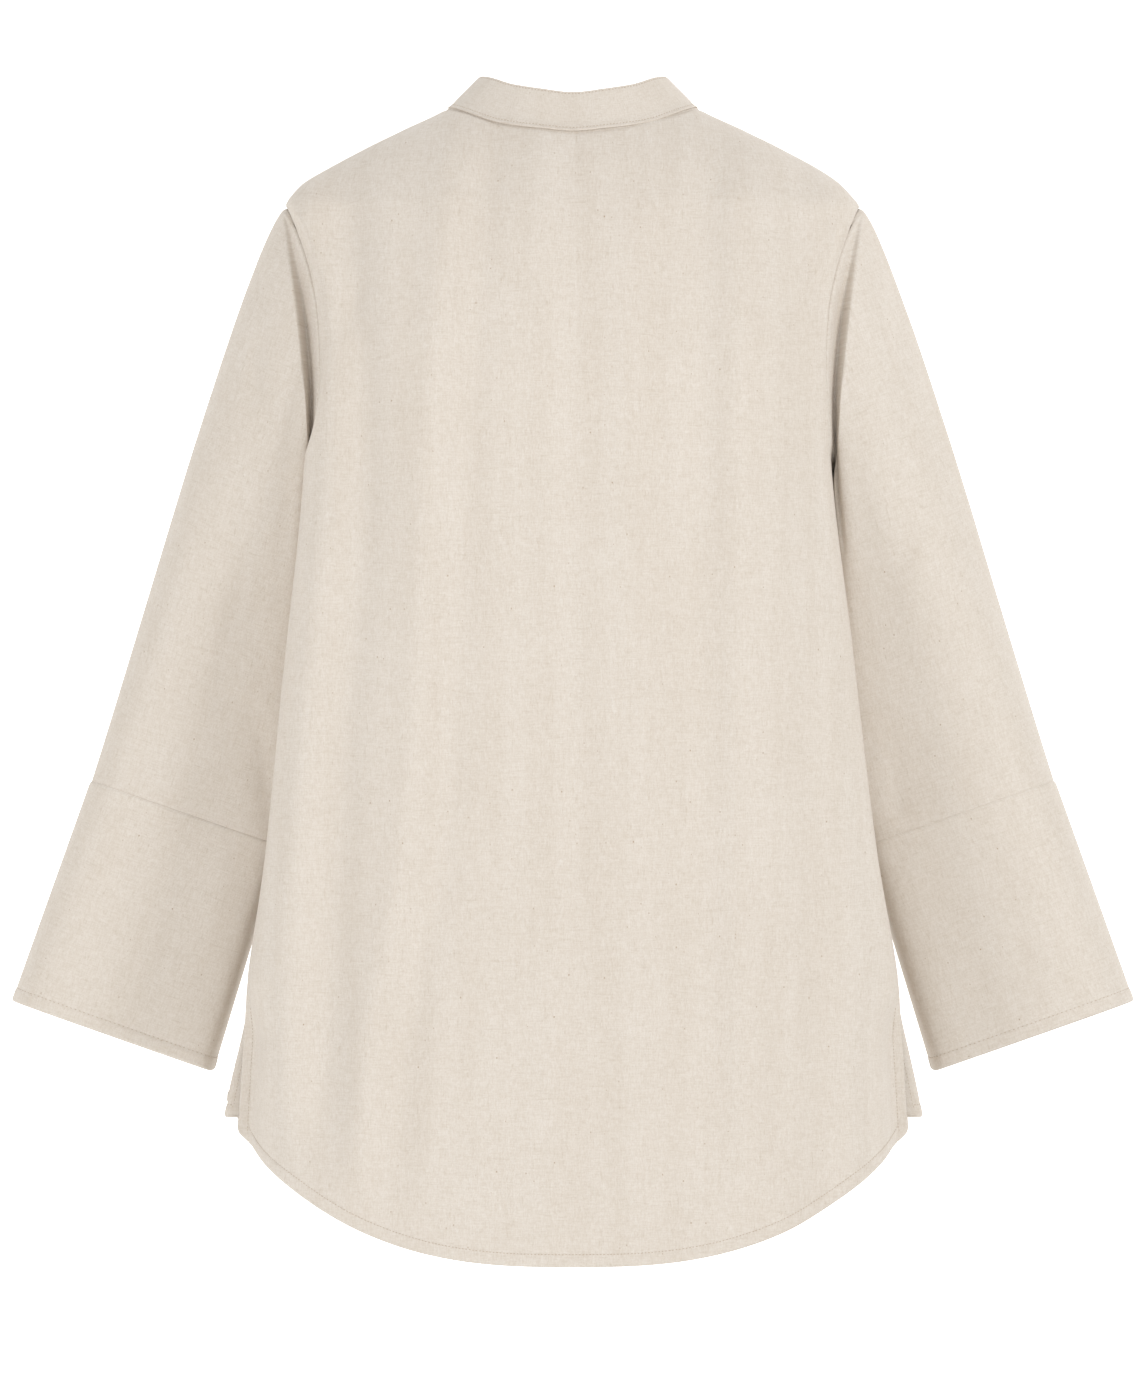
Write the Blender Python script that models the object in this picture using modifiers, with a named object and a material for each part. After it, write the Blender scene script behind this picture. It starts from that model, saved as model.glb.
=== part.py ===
# Wrap shirt in linen, filled out as on a wearer, with nobody in it.
# Metres. +Z is up and +Y is towards the wearer's back, so the front faces -Y and the
# wearer's left is +X. The origin is the middle of the neck, level with the neck points.
import math

import bmesh
import bpy
import numpy as np
from mathutils import Matrix, Vector

# ---- Driving dimensions -------------------------------------------------------------
WALL = 0.0015            # cloth, drawn thicker than linen so that it has two sides
SEAM_GAP = 0.0003        # between two pieces that are sewn together
SIDE_SEAM_GAP = 0.0010   # the cloth bends at the shoulder and side seams, so it is wider
ARMHOLE_GAP = 0.0008
LAYER = 0.0040           # how far the outer front stands off the inner one

SHOULDER_POINT = -0.0703     # levels, down from the neck points
UNDERARM = -0.255
SLIT_TOP = -0.628
FRONT_HEM = -0.716
BACK_CORNER = -0.7256
BACK_HEM = -0.8134
TAIL_CURVE = 2.75

NECK_HALF_WIDTH = 0.086
BACK_NECK_DROP = 0.0196
COLLAR_HEIGHT = 0.030
WRAP_CROSSING = -0.115       # where the two neck edges cross at the centre front
INNER_FREE_EDGE = 0.140      # the inner front ends this far past the centre front
OUTER_EDGE_SHARE = 0.70      # the outer front's free edge: this share of the way to the
OUTER_EDGE_SLANT = 0.25      # side at the underarm, and this much further at the hem
OUTER_HEM_DROP = 0.011       # the outer front hangs this much lower at its free end
DROP_START, DROP_LENGTH = -0.10, 0.20        # where along the hem that drop comes about
CORNER_RISE, CORNER_REACH = 0.020, 0.045     # the outer front's round lower corner
LAYER_TOP, LAYER_FADE = -0.012, 0.045        # below the neck the outer front lifts off,
LAYER_FROM_SEAM = 0.06                       # and this far in from its own side seam

BACK_ARMHOLE_SCOOP = 0.26    # of the half girth, at the armhole's middle
FRONT_ARMHOLE_SCOOP = 0.30
ARMHOLE_ROUNDNESS = 0.76

# The body's level sections, as two half superellipses that meet where it is widest.
FORM_COLUMNS = ("level", "back_half_width", "front_half_width", "back", "front",
                "widest_y", "back_square", "front_square", "seam_y")
FORM = (
    (+0.0300, 0.0600, 0.0600, 0.040, 0.020, 0.000, 2.00, 2.0, -0.008),
    (+0.0000, 0.0886, 0.0886, 0.048, 0.032, 0.000, 2.00, 2.0, -0.008),
    (-0.0156, 0.1200, 0.1200, 0.059, 0.043, 0.000, 2.00, 2.0, -0.008),
    (-0.0298, 0.1490, 0.1490, 0.069, 0.053, 0.000, 2.00, 2.0, -0.009),
    (-0.0440, 0.1754, 0.1754, 0.077, 0.062, 0.000, 2.05, 2.0, -0.010),
    (-0.0582, 0.1953, 0.1953, 0.083, 0.071, 0.000, 2.15, 2.1, -0.010),
    (-0.0703, 0.2060, 0.2060, 0.088, 0.079, 0.000, 2.25, 2.1, -0.010),
    (-0.0940, 0.2030, 0.2020, 0.095, 0.093, 0.000, 2.40, 2.2, -0.010),
    (-0.1150, 0.1970, 0.1960, 0.099, 0.104, 0.001, 2.70, 2.3, -0.010),
    (-0.1434, 0.1890, 0.1880, 0.103, 0.115, 0.003, 3.10, 2.4, -0.010),
    (-0.1750, 0.1830, 0.1830, 0.106, 0.123, 0.007, 3.50, 2.3, -0.010),
    (-0.2000, 0.1815, 0.1815, 0.107, 0.127, 0.012, 3.50, 2.2, -0.009),
    (-0.2550, 0.1840, 0.1840, 0.107, 0.130, 0.020, 3.20, 2.0, -0.006),
    (-0.3850, 0.1980, 0.1980, 0.108, 0.128, 0.030, 2.80, 1.9, -0.002),
    (-0.5250, 0.2145, 0.2145, 0.111, 0.130, 0.027, 2.60, 2.0, +0.004),
    (-0.6300, 0.2315, 0.2315, 0.117, 0.134, 0.016, 2.60, 2.2, +0.010),
    (-0.7250, 0.2380, 0.2500, 0.123, 0.138, 0.010, 2.60, 2.3, +0.010),
    (-0.8200, 0.2430, 0.2600, 0.128, 0.142, 0.010, 2.60, 2.3, +0.010),
)

# Soft upright folds of the body: where each runs, as an arc from the centre line at
# its top and bottom, how wide and how deep it is (a ridge is positive), and its ends.
FOLD_COLUMNS = ("arc_top", "arc_bottom", "width", "depth", "top", "bottom")
BACK_FOLDS = (
    (+0.120, +0.200, 0.026, -0.0040, -0.060, -0.790),
    (+0.078, +0.150, 0.022, +0.0030, -0.030, -0.790),
    (+0.045, +0.060, 0.018, -0.0016, -0.040, -0.790),
    (-0.048, -0.062, 0.022, +0.0018, -0.120, -0.500),
    (-0.092, -0.105, 0.018, -0.0022, -0.040, -0.700),
    (-0.140, -0.170, 0.024, +0.0026, -0.150, -0.620),
)
FRONT_FOLDS = (
    (+0.090, +0.130, 0.026, -0.0030, -0.250, -0.700),
    (-0.020, +0.020, 0.030, +0.0026, -0.300, -0.700),
    (-0.100, -0.140, 0.026, -0.0030, -0.220, -0.700),
)

# Sleeve and cuff rings on the wearer's left: middle, half width from inner to outer
# edge, half depth, and the way from the inner to the outer edge.
RING_COLUMNS = ("x", "y", "z", "half_width", "half_depth", "across_x", "across_z")
CUFF_SEAM = (0.2784, -0.066, -0.5031, 0.0711, 0.0500, 0.9449, 0.3276)
CUFF_HEM = (0.3322, -0.094, -0.6624, 0.0765, 0.0500, 0.9438, 0.3307)
RING_SQUARENESS = 2.8
RING_TILT = 0.05             # the rings' backs hang a little lower than their fronts
CUFF_PROUD = 0.0012          # the cuff is a hair wider than the sleeve it is sewn to

# How the sleeve sets off from its armhole and reaches its cuff: the first direction
# at the shoulder, back, underarm and front of the ring, with its strength.
SLEEVE_START_COLUMNS = ("around", "x", "y", "z", "strength")
SLEEVE_STARTS = (
    (0, 0.76, -0.05, -0.64, 0.090),
    (90, 0.68, -0.25, -0.69, 0.170),
    (135, 0.88, -0.30, -0.35, 0.100),
    (180, 0.90, -0.25, -0.35, 0.050),
    (225, 0.88, -0.30, -0.35, 0.090),
    (270, 0.62, -0.32, -0.72, 0.160),
    (360, 0.76, -0.05, -0.64, 0.090),
)
SLEEVE_END_PULL = 0.85       # of the straight way from the armhole to the cuff
ARMPIT_VALLEY = {"from": 30, "to": 140, "at": 0.060, "width": 0.036, "depth": 0.026}
ARMPIT_FRONT = {"from": 220, "to": 322, "at": 0.060, "width": 0.036, "depth": 0.014}

BUTTON_RADIUS = 0.0065
BUTTON_THICKNESS = 0.0024
BUTTON_LEVEL = -0.372
BUTTON_FROM_EDGE = 0.018
BUTTON_SIDES = 24
BUTTON_RIM = 0.0006

COLLAR_LEAN_BACK = (0, -0.37, 0.93)          # which way the collar stands
COLLAR_LEAN_NECK = (-0.72, -0.05, 0.69)
SLEEVE_RUN = (0.31, -0.12, -0.943)           # the sleeve's way down, and its rings
SLEEVE_RINGS = (0, 0.02, 0.045, 0.075, 0.11, 0.16, 0.23, 0.33, 0.46, 0.62, 0.80, 0.92, 1)
CUFF_RINGS = (0, 0.33, 0.67, 1)
VALLEY_FADE = 0.05           # of the sleeve's length
FOLD_FADE = 0.05             # folds die away this close to a side seam

SECTION_POINTS = 121
SHOULDER_STEPS = 6
SHOULDER_SPACING = 0.9
ARMHOLE_STEPS = 11
OUTER_EDGE_COLUMNS = 14
INNER_EDGE_COLUMNS = 11
COLLAR_TURN_STEPS = 4        # columns down a front in which the collar turns flat
COLLAR_FOOT = 0.0007         # its lower edge is this far above the neck seam
COLLAR_HEIGHTS = [COLLAR_FOOT + (COLLAR_HEIGHT - COLLAR_FOOT) * i / 3 for i in range(4)]
SIDE_STEPS = 8
SLIT_STEPS = 3
BACK_NECK_COLUMNS = 8

LINEN_COLOUR = (0.745, 0.680, 0.600, 1.0)
BUTTON_COLOUR = (0.640, 0.560, 0.450, 1.0)


# ---- Small helpers ------------------------------------------------------------------
def table_value(table, columns, column, at):
    """Read one column of a table at a level, smoothly and without overshoot."""
    xs = -np.array([row[0] for row in table])
    ys = np.array([row[columns.index(column)] for row in table])
    gap = np.diff(xs)
    rise = np.diff(ys) / gap
    slope = np.zeros(len(xs))
    for i in range(1, len(xs) - 1):
        if rise[i - 1] * rise[i] > 0:
            slope[i] = 2 * rise[i - 1] * rise[i] / (rise[i - 1] + rise[i])
    slope[0], slope[-1] = rise[0], rise[-1]
    x = min(max(-at, xs[0]), xs[-1])
    i = min(int(np.searchsorted(xs, x, side="right")) - 1, len(gap) - 1)
    t = (x - xs[i]) / gap[i]
    return float((2 * t**3 - 3 * t**2 + 1) * ys[i] + (t**3 - 2 * t**2 + t) * gap[i] * slope[i]
                 + (3 * t**2 - 2 * t**3) * ys[i + 1] + (t**3 - t**2) * gap[i] * slope[i + 1])


def ease(x):
    """Go softly from 0 to 1."""
    x = min(max(x, 0.0), 1.0)
    return x * x * (3 - 2 * x)


# ---- The form: level sections of the body -------------------------------------------
SECTIONS = {}


def section(level, facing):
    """The half section from its centre line round to the side seam: x, y and arc."""
    key = (round(level, 6), facing)
    if key not in SECTIONS:
        at = {name: table_value(FORM, FORM_COLUMNS, name, level) for name in FORM_COLUMNS[1:]}
        turn = np.linspace(0, math.pi / 2, SECTION_POINTS)
        width = at[facing + "_half_width"]
        halves = {}
        for half, sign in (("back", 1), ("front", -1)):
            power = 2 / at[half + "_square"]
            reach = at[half] - sign * at["widest_y"]
            halves[half] = (width * np.sin(turn)**power,
                            at["widest_y"] + sign * reach * np.cos(turn)**power)
        other = "front" if facing == "back" else "back"
        x = np.concatenate([halves[facing][0], halves[other][0][-2::-1]])
        y = np.concatenate([halves[facing][1], halves[other][1][-2::-1]])
        arc = np.concatenate([[0], np.cumsum(np.hypot(np.diff(x), np.diff(y)))])
        past = np.argmax(y < at["seam_y"]) if facing == "back" else np.argmax(y > at["seam_y"])
        part = (at["seam_y"] - y[past - 1]) / (y[past] - y[past - 1])
        side = float(arc[past - 1] + part * (arc[past] - arc[past - 1]))
        SECTIONS[key] = (x, y, arc, side)
    return SECTIONS[key]


def side_arc(level, facing):
    return section(level, facing)[3]


def bare_point(arc, level, facing):
    """The point on the form at an arc from the centre line; +arc is the wearer's left."""
    x, y, arcs, _ = section(level, facing)
    reach = abs(arc)
    return Vector((math.copysign(float(np.interp(reach, arcs, x)), arc),
                   float(np.interp(reach, arcs, y)), level))


def body_normal(arc, level, facing):
    step = 0.002
    across = bare_point(arc + step, level, facing) - bare_point(arc - step, level, facing)
    down = bare_point(arc, level - step, facing) - bare_point(arc, level + step, facing)
    out = down.cross(across) if facing == "front" else across.cross(down)
    return out.normalized()


def fold_height(arc, level, folds):
    height = 0.0
    for row in folds:
        fold = dict(zip(FOLD_COLUMNS, row))
        along = (fold["top"] - level) / (fold["top"] - fold["bottom"])
        if -0.2 < along < 1.2:
            middle = fold["arc_top"] + (fold["arc_bottom"] - fold["arc_top"]) * along
            ends = ease((along + 0.2) / 0.4) * ease((1.2 - along) / 0.4)
            height += fold["depth"] * ends * math.exp(-((arc - middle) / fold["width"])**2)
    return height


def body_point(arc, level, facing, lift=0.0):
    """A point of the cloth: the form, with its folds, moved out by a layer."""
    folds = BACK_FOLDS if facing == "back" else FRONT_FOLDS
    to_edge = ease((side_arc(level, facing) - abs(arc)) / FOLD_FADE)
    height = lift + to_edge * fold_height(arc, level, folds)
    return bare_point(arc, level, facing) + body_normal(arc, level, facing) * float(height)


# ---- The outline of the cut pieces --------------------------------------------------
def scooped(level, facing, inward):
    """How far the armhole cuts in, fading from its edge (0) to the far edge (1)."""
    down = (SHOULDER_POINT - level) / (SHOULDER_POINT - UNDERARM)
    if not 0 < down < 1:
        return 0.0
    scoop = BACK_ARMHOLE_SCOOP if facing == "back" else FRONT_ARMHOLE_SCOOP
    sharpness = ARMHOLE_ROUNDNESS / 2 + 2 * inward
    return scoop * whole_arc(level, facing) * (4 * down * (1 - down))**sharpness * (1 - inward)**3


def whole_arc(level, facing):
    """The arc to the side seam, which starts at the shoulder point."""
    return side_arc(min(level, SHOULDER_POINT), facing) - SIDE_SEAM_GAP / 2


def armhole_end(level, facing):
    return whole_arc(level, facing) - scooped(level, facing, 0.0)


def armhole_levels():
    """Levels down the armhole, closer together where it turns."""
    turns = [math.pi * i / ARMHOLE_STEPS for i in range(ARMHOLE_STEPS + 1)]
    return [SHOULDER_POINT + (UNDERARM - SHOULDER_POINT) * (1 - math.cos(a)) / 2 for a in turns]


def side_fractions(corner):
    """Where the rows fall, as fractions of a column from its top to its hem."""
    levels = armhole_levels()
    levels += list(np.linspace(UNDERARM, SLIT_TOP, SIDE_STEPS + 1))[1:]
    levels += list(np.linspace(SLIT_TOP, corner, SLIT_STEPS + 1))[1:]
    return [(SHOULDER_POINT - level) / (SHOULDER_POINT - corner) for level in levels]


def settle(rule, low=-1.0, high=0.0):
    """Find where a falling rule, such as a hem's height, gives back what it is given."""
    for _ in range(40):
        middle = (low + high) / 2
        if rule(middle) > middle:
            low = middle
        else:
            high = middle
    return (low + high) / 2


def shoulder_levels():
    return [SHOULDER_POINT * (i / SHOULDER_STEPS)**SHOULDER_SPACING
            for i in range(SHOULDER_STEPS + 1)]


def back_neck_level(x):
    return -BACK_NECK_DROP * (1 - (x / NECK_HALF_WIDTH)**2)


def back_hem_level(x):
    """A round tail, flat at the centre and steep towards the slits' corners."""
    corner = table_value(FORM, FORM_COLUMNS, "back_half_width", BACK_CORNER)
    return BACK_HEM + (BACK_CORNER - BACK_HEM) * (abs(x) / corner)**TAIL_CURVE


def wrap_edge_level(arc):
    """The neck edge of a front, straight from its neck point across and down."""
    start = side_arc(0.0, "front")
    return WRAP_CROSSING * (arc + start) / start


def outer_free_arc(level):
    """The outer front's free edge, which slants out to the side towards the hem."""
    down = ease((UNDERARM - level) / (UNDERARM - FRONT_HEM))
    share = OUTER_EDGE_SHARE + OUTER_EDGE_SLANT * down
    return share * side_arc(min(level, UNDERARM), "front")


def outer_lift(arc, level):
    """The outer front lies on the inner one, and comes down to its own side seam."""
    from_edge = armhole_end(level, "front") + arc
    return LAYER * ease(from_edge / LAYER_FROM_SEAM) * ease((LAYER_TOP - level) / LAYER_FADE)


def outer_hem_level(arc, level):
    to_edge = outer_free_arc(level) - arc
    corner = CORNER_RISE * (1 - ease(to_edge / CORNER_REACH))
    return FRONT_HEM - OUTER_HEM_DROP * ease((arc - DROP_START) / DROP_LENGTH) + corner


# ---- Mesh builders ------------------------------------------------------------------
def new_object(name, mesh, collection):
    mesh.validate()
    piece = bpy.data.objects.new(name, mesh)
    collection.objects.link(piece)
    piece.data.materials.append(MATERIALS["linen"])
    return piece


def sheet_mesh(name, grid, closed=False):
    """A net of four-sided faces through rows of points."""
    mesh = bpy.data.meshes.new(name)
    net = bmesh.new()
    rows = [[net.verts.new(point) for point in row] for row in grid]
    count = len(rows[0])
    for upper, lower in zip(rows, rows[1:]):
        for i in range(count if closed else count - 1):
            j = (i + 1) % count
            net.faces.new((upper[i], upper[j], lower[j], lower[i]))
    net.to_mesh(mesh)
    net.free()
    mesh.shade_smooth()
    return mesh


def thicken(piece, wall=WALL):
    """Give an open sheet its wall, on the side away from its normals."""
    solid = piece.modifiers.new("wall", "SOLIDIFY")
    solid.thickness = wall
    solid.offset = -1


def columns_to_rows(columns):
    return [list(row) for row in zip(*columns)]


# ---- The pieces ---------------------------------------------------------------------
def back_columns():
    """Columns of points from the centre back to one armhole, top to hem."""
    def arc_at(share, level):
        return share * whole_arc(level, "back") - scooped(level, "back", 1 - share)

    tops = [(share, level) for share, _, level in back_neck_stations()[:-1]]
    for level in shoulder_levels():
        seam = side_arc(level, "back") - SIDE_SEAM_GAP / 2
        tops.append((seam / whole_arc(SHOULDER_POINT, "back"), level))
    columns = []
    for share, top in tops:
        hem = settle(lambda low: back_hem_level(bare_point(arc_at(share, low), low, "back").x))
        levels = [top + (hem - top) * part for part in side_fractions(BACK_CORNER)]
        columns.append([(arc_at(share, level), level) for level in levels])
    return columns


def back_neck_stations():
    """Where the back's columns meet its neck seam: share, arc and level."""
    whole = whole_arc(SHOULDER_POINT, "back")
    stations = []
    for arc in np.linspace(0, side_arc(0.0, "back") - SIDE_SEAM_GAP / 2, BACK_NECK_COLUMNS):
        level = settle(lambda low: back_neck_level(bare_point(arc, low, "back").x))
        stations.append((arc / whole, arc, level))
    return stations


def make_back(collection):
    left = back_columns()
    right = [[(-arc, level) for arc, level in column] for column in left[:0:-1]]
    columns = [[body_point(arc, level, "back") for arc, level in column]
               for column in right + left]
    mesh = sheet_mesh("back", columns_to_rows(columns))
    thicken(new_object("back", mesh, collection))


def front_arc(share, level, free_arc):
    """The arc at a share across a front, from its armhole (0) to its free edge (1)."""
    near = whole_arc(level, "front")
    return share * (free_arc(level) + near) - near + scooped(level, "front", share)


def wrap_stations(free_arc, edge_columns):
    """Where a front's columns meet its wrap edge: share, arc and level."""
    start = side_arc(0.0, "front")
    end = settle(lambda low: wrap_edge_level(free_arc(low)))
    stations = []
    for i in range(1, edge_columns + 1):
        level = end * i / edge_columns
        arc = start * (level / WRAP_CROSSING - 1)
        share = settle(lambda near: near + arc - front_arc(near, level, free_arc), 0.0, 1.0)
        stations.append((share, arc, level))
    return stations


def front_columns(side, free_arc, hem_rule, lift_rule, edge_columns):
    """Columns of a front from its armhole, on the -X side, across to its free edge.

    With side -1 the front is the other way round, from the +X side across.
    """
    tops = []
    for level in shoulder_levels()[::-1]:
        from_seam = whole_arc(SHOULDER_POINT, "front") - side_arc(level, "front") + SIDE_SEAM_GAP / 2
        across = whole_arc(SHOULDER_POINT, "front") + free_arc(level)
        tops.append((from_seam / across, level))
    tops += [(share, level) for share, _, level in wrap_stations(free_arc, edge_columns)]
    columns = []
    for share, top in tops:
        hem = settle(lambda low: hem_rule(front_arc(share, low, free_arc), low))
        column = []
        for part in side_fractions(FRONT_HEM):
            level = top + (hem - top) * part
            arc = front_arc(share, level, free_arc)
            column.append(body_point(side * arc, level, "front", lift_rule(arc, level)))
        columns.append(column)
    return columns


def make_fronts(collection):
    outer = front_columns(1, outer_free_arc, outer_hem_level, outer_lift, OUTER_EDGE_COLUMNS)
    mesh = sheet_mesh("front_outer", columns_to_rows(outer))
    mesh.flip_normals()
    thicken(new_object("front_outer", mesh, collection))
    inner = front_columns(-1, lambda level: INNER_FREE_EDGE, lambda arc, level: FRONT_HEM,
                          lambda arc, level: 0.0, INNER_EDGE_COLUMNS)
    mesh = sheet_mesh("front_inner", columns_to_rows(inner))
    thicken(new_object("front_inner", mesh, collection))


def neck_lean(side, share):
    """Which way the collar stands, from the centre back (0) to a neck point (1)."""
    back = Vector(COLLAR_LEAN_BACK)
    neck = Vector(COLLAR_LEAN_NECK)
    neck.x *= side
    return back.lerp(neck, ease(share)).normalized()


def collar_front_strips(side, free_arc, lift_rule, edge_columns):
    """Strips of the band down one front: it stands at the neck, then lies on the chest."""
    slope = -WRAP_CROSSING / side_arc(0.0, "front")
    up_arc, up_level = Vector((slope, 1)).normalized()
    strips = []
    for i, (_, arc, level) in enumerate(wrap_stations(free_arc, edge_columns), 1):
        lift = lift_rule(arc, level)
        base = body_point(side * arc, level, "front", lift)
        flat = ease(i / COLLAR_TURN_STEPS)
        strip = []
        for height in COLLAR_HEIGHTS:
            lying = body_point(side * (arc + up_arc * height), level + up_level * height,
                               "front", lift)
            standing = base + neck_lean(-side, 1.0) * height
            strip.append(standing.lerp(lying, flat))
        strips.append(strip)
    return strips


def make_collar(collection):
    strips = collar_front_strips(1, outer_free_arc, outer_lift, OUTER_EDGE_COLUMNS)[::-1]
    backs = []
    for _, arc, level in back_neck_stations():
        base = body_point(arc, level, "back")
        lean = neck_lean(1, arc / side_arc(0.0, "back"))
        backs.append([base + lean * height for height in COLLAR_HEIGHTS])
    strips += [[Vector((-p.x, p.y, p.z)) for p in strip] for strip in backs[:0:-1]]
    strips += backs
    strips += collar_front_strips(-1, lambda level: INNER_FREE_EDGE, lambda arc, level: 0.0,
                                  INNER_EDGE_COLUMNS)
    mesh = sheet_mesh("collar", strips)
    thicken(new_object("collar", mesh, collection))


def make_button(collection):
    """A flat four-hole button near the top of the outer front's free edge."""
    level = BUTTON_LEVEL
    arc = outer_free_arc(level) - BUTTON_FROM_EDGE
    out = body_normal(arc, level, "front")
    seat = body_point(arc, level, "front", outer_lift(arc, level) + SEAM_GAP)
    turn = out.to_track_quat("Z", "Y").to_matrix().to_4x4()
    bpy.ops.mesh.primitive_cylinder_add(vertices=BUTTON_SIDES, radius=BUTTON_RADIUS,
                                        depth=BUTTON_THICKNESS)
    button = bpy.context.object
    button.name = "button"
    button.matrix_world = Matrix.Translation(seat + out * BUTTON_THICKNESS / 2) @ turn
    for owner in list(button.users_collection):
        owner.objects.unlink(button)
    collection.objects.link(button)
    button.data.materials.append(MATERIALS["button"])
    rim = button.modifiers.new("rim", "BEVEL")
    rim.width = BUTTON_RIM
    rim.segments = 1
    rim.limit_method = "ANGLE"


def ring(row, proud=0.0):
    """Points round a sleeve, from its outer edge over the back to the inner edge."""
    at = dict(zip(RING_COLUMNS, row))
    middle = Vector((at["x"], at["y"], at["z"]))
    across = Vector((at["across_x"], 0, at["across_z"]))
    along = Vector((SLEEVE_RUN[0], -RING_TILT, SLEEVE_RUN[2])).normalized()
    deep = along.cross(across).normalized()
    if deep.y < 0:
        deep = -deep
    points = []
    for i in range(2 * ARMHOLE_STEPS):
        turn = math.pi * i / ARMHOLE_STEPS
        power = 2 / RING_SQUARENESS
        c, s = math.cos(turn), math.sin(turn)
        wide = math.copysign(abs(c)**power, c) * (at["half_width"] + proud)
        thick = math.copysign(abs(s)**power, s) * (at["half_depth"] + proud)
        points.append(middle + across * wide + deep * thick)
    return points


def sleeve_start(around, column):
    return float(np.interp(around, [row[0] for row in SLEEVE_STARTS],
                           [row[SLEEVE_START_COLUMNS.index(column)] for row in SLEEVE_STARTS]))


def valley_depth(around, along, valley):
    if not valley["from"] < around < valley["to"]:
        return 0.0
    sweep = (around - valley["from"]) / (valley["to"] - valley["from"])
    return (valley["depth"] * math.sin(math.pi * sweep)**0.7
            * math.exp(-((along - valley["at"]) / valley["width"])**2))


def sleeve_rings():
    """The left sleeve, from its armhole to its cuff seam."""
    levels = armhole_levels()
    start = [bare_point(armhole_end(level, "back"), level, "back") for level in levels]
    start += [bare_point(armhole_end(level, "front"), level, "front")
              for level in levels[-2:0:-1]]
    end = ring(CUFF_SEAM)
    along = Vector(SLEEVE_RUN).normalized()
    rings = []
    for t in SLEEVE_RINGS:
        points = []
        for i in range(2 * ARMHOLE_STEPS):
            around = 180 * i / ARMHOLE_STEPS
            away = Vector([sleeve_start(around, c) for c in "xyz"]).normalized()
            first = start[i] + away * ARMHOLE_GAP
            last = end[i] - along * SEAM_GAP
            push = away * sleeve_start(around, "strength")
            pull = along * SLEEVE_END_PULL * (last - first).length
            point = ((2 * t**3 - 3 * t**2 + 1) * first + (t**3 - 2 * t**2 + t) * push
                     + (3 * t**2 - 2 * t**3) * last + (t**3 - t**2) * pull)
            if t > 0:
                dip = ease(t / VALLEY_FADE)
                point += Vector((0, -1, 0)) * dip * valley_depth(around, t, ARMPIT_VALLEY)
                point += Vector((0, 1, 0)) * dip * valley_depth(around, t, ARMPIT_FRONT)
            points.append(point)
        rings.append(points)
    return rings


def cuff_rings():
    """The left cuff, straight from its seam to its hem."""
    top, bottom = ring(CUFF_SEAM, CUFF_PROUD), ring(CUFF_HEM, 0.0)
    return [[a.lerp(b, t) for a, b in zip(top, bottom)] for t in CUFF_RINGS]


def make_sleeves(collection):
    for side, sign in (("left", 1), ("right", -1)):
        for name, rings in (("sleeve_", sleeve_rings()), ("cuff_", cuff_rings())):
            grid = [[Vector((sign * p.x, p.y, p.z)) for p in points] for points in rings]
            mesh = sheet_mesh(name + side, grid, closed=True)
            if sign > 0:
                mesh.flip_normals()
            thicken(new_object(name + side, mesh, collection))


# ---- Material and main --------------------------------------------------------------
def make_material(name, colour, roughness):
    material = bpy.data.materials.new(name)
    material.use_nodes = True
    shader = material.node_tree.nodes["Principled BSDF"]
    shader.inputs["Base Color"].default_value = colour
    shader.inputs["Roughness"].default_value = roughness
    shader.inputs["Metallic"].default_value = 0.0
    return material


MATERIALS = {}


def main():
    for old in list(bpy.data.objects):
        bpy.data.objects.remove(old, do_unlink=True)
    collection = bpy.data.collections.new("wrap_shirt")
    bpy.context.scene.collection.children.link(collection)
    MATERIALS["linen"] = make_material("linen", LINEN_COLOUR, 0.9)
    MATERIALS["button"] = make_material("button", BUTTON_COLOUR, 0.35)
    make_back(collection)
    make_fronts(collection)
    make_sleeves(collection)
    make_collar(collection)
    make_button(collection)


main()
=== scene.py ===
# Wrap shirt in natural linen, filled out and hollow, with nobody in it.
# Metres, +Z up. +Y is the wearer's back and +X the wearer's left.
import math
import bpy
import numpy as np
from mathutils import Matrix, Vector


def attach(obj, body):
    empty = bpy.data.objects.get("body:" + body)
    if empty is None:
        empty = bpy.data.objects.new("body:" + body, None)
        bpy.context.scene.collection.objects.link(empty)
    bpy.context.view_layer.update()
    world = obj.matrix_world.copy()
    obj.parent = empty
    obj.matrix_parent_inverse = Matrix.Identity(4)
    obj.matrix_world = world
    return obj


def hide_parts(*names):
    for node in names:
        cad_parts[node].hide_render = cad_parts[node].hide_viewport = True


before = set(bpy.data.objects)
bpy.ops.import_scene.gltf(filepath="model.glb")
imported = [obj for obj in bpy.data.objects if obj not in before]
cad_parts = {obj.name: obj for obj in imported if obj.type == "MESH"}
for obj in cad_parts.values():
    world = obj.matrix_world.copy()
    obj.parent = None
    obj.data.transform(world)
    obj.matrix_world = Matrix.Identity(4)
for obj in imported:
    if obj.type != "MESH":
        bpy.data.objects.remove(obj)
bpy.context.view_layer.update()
bpy.ops.object.select_all(action="DESELECT")
print("frame loaded:", sorted(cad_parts))

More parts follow.
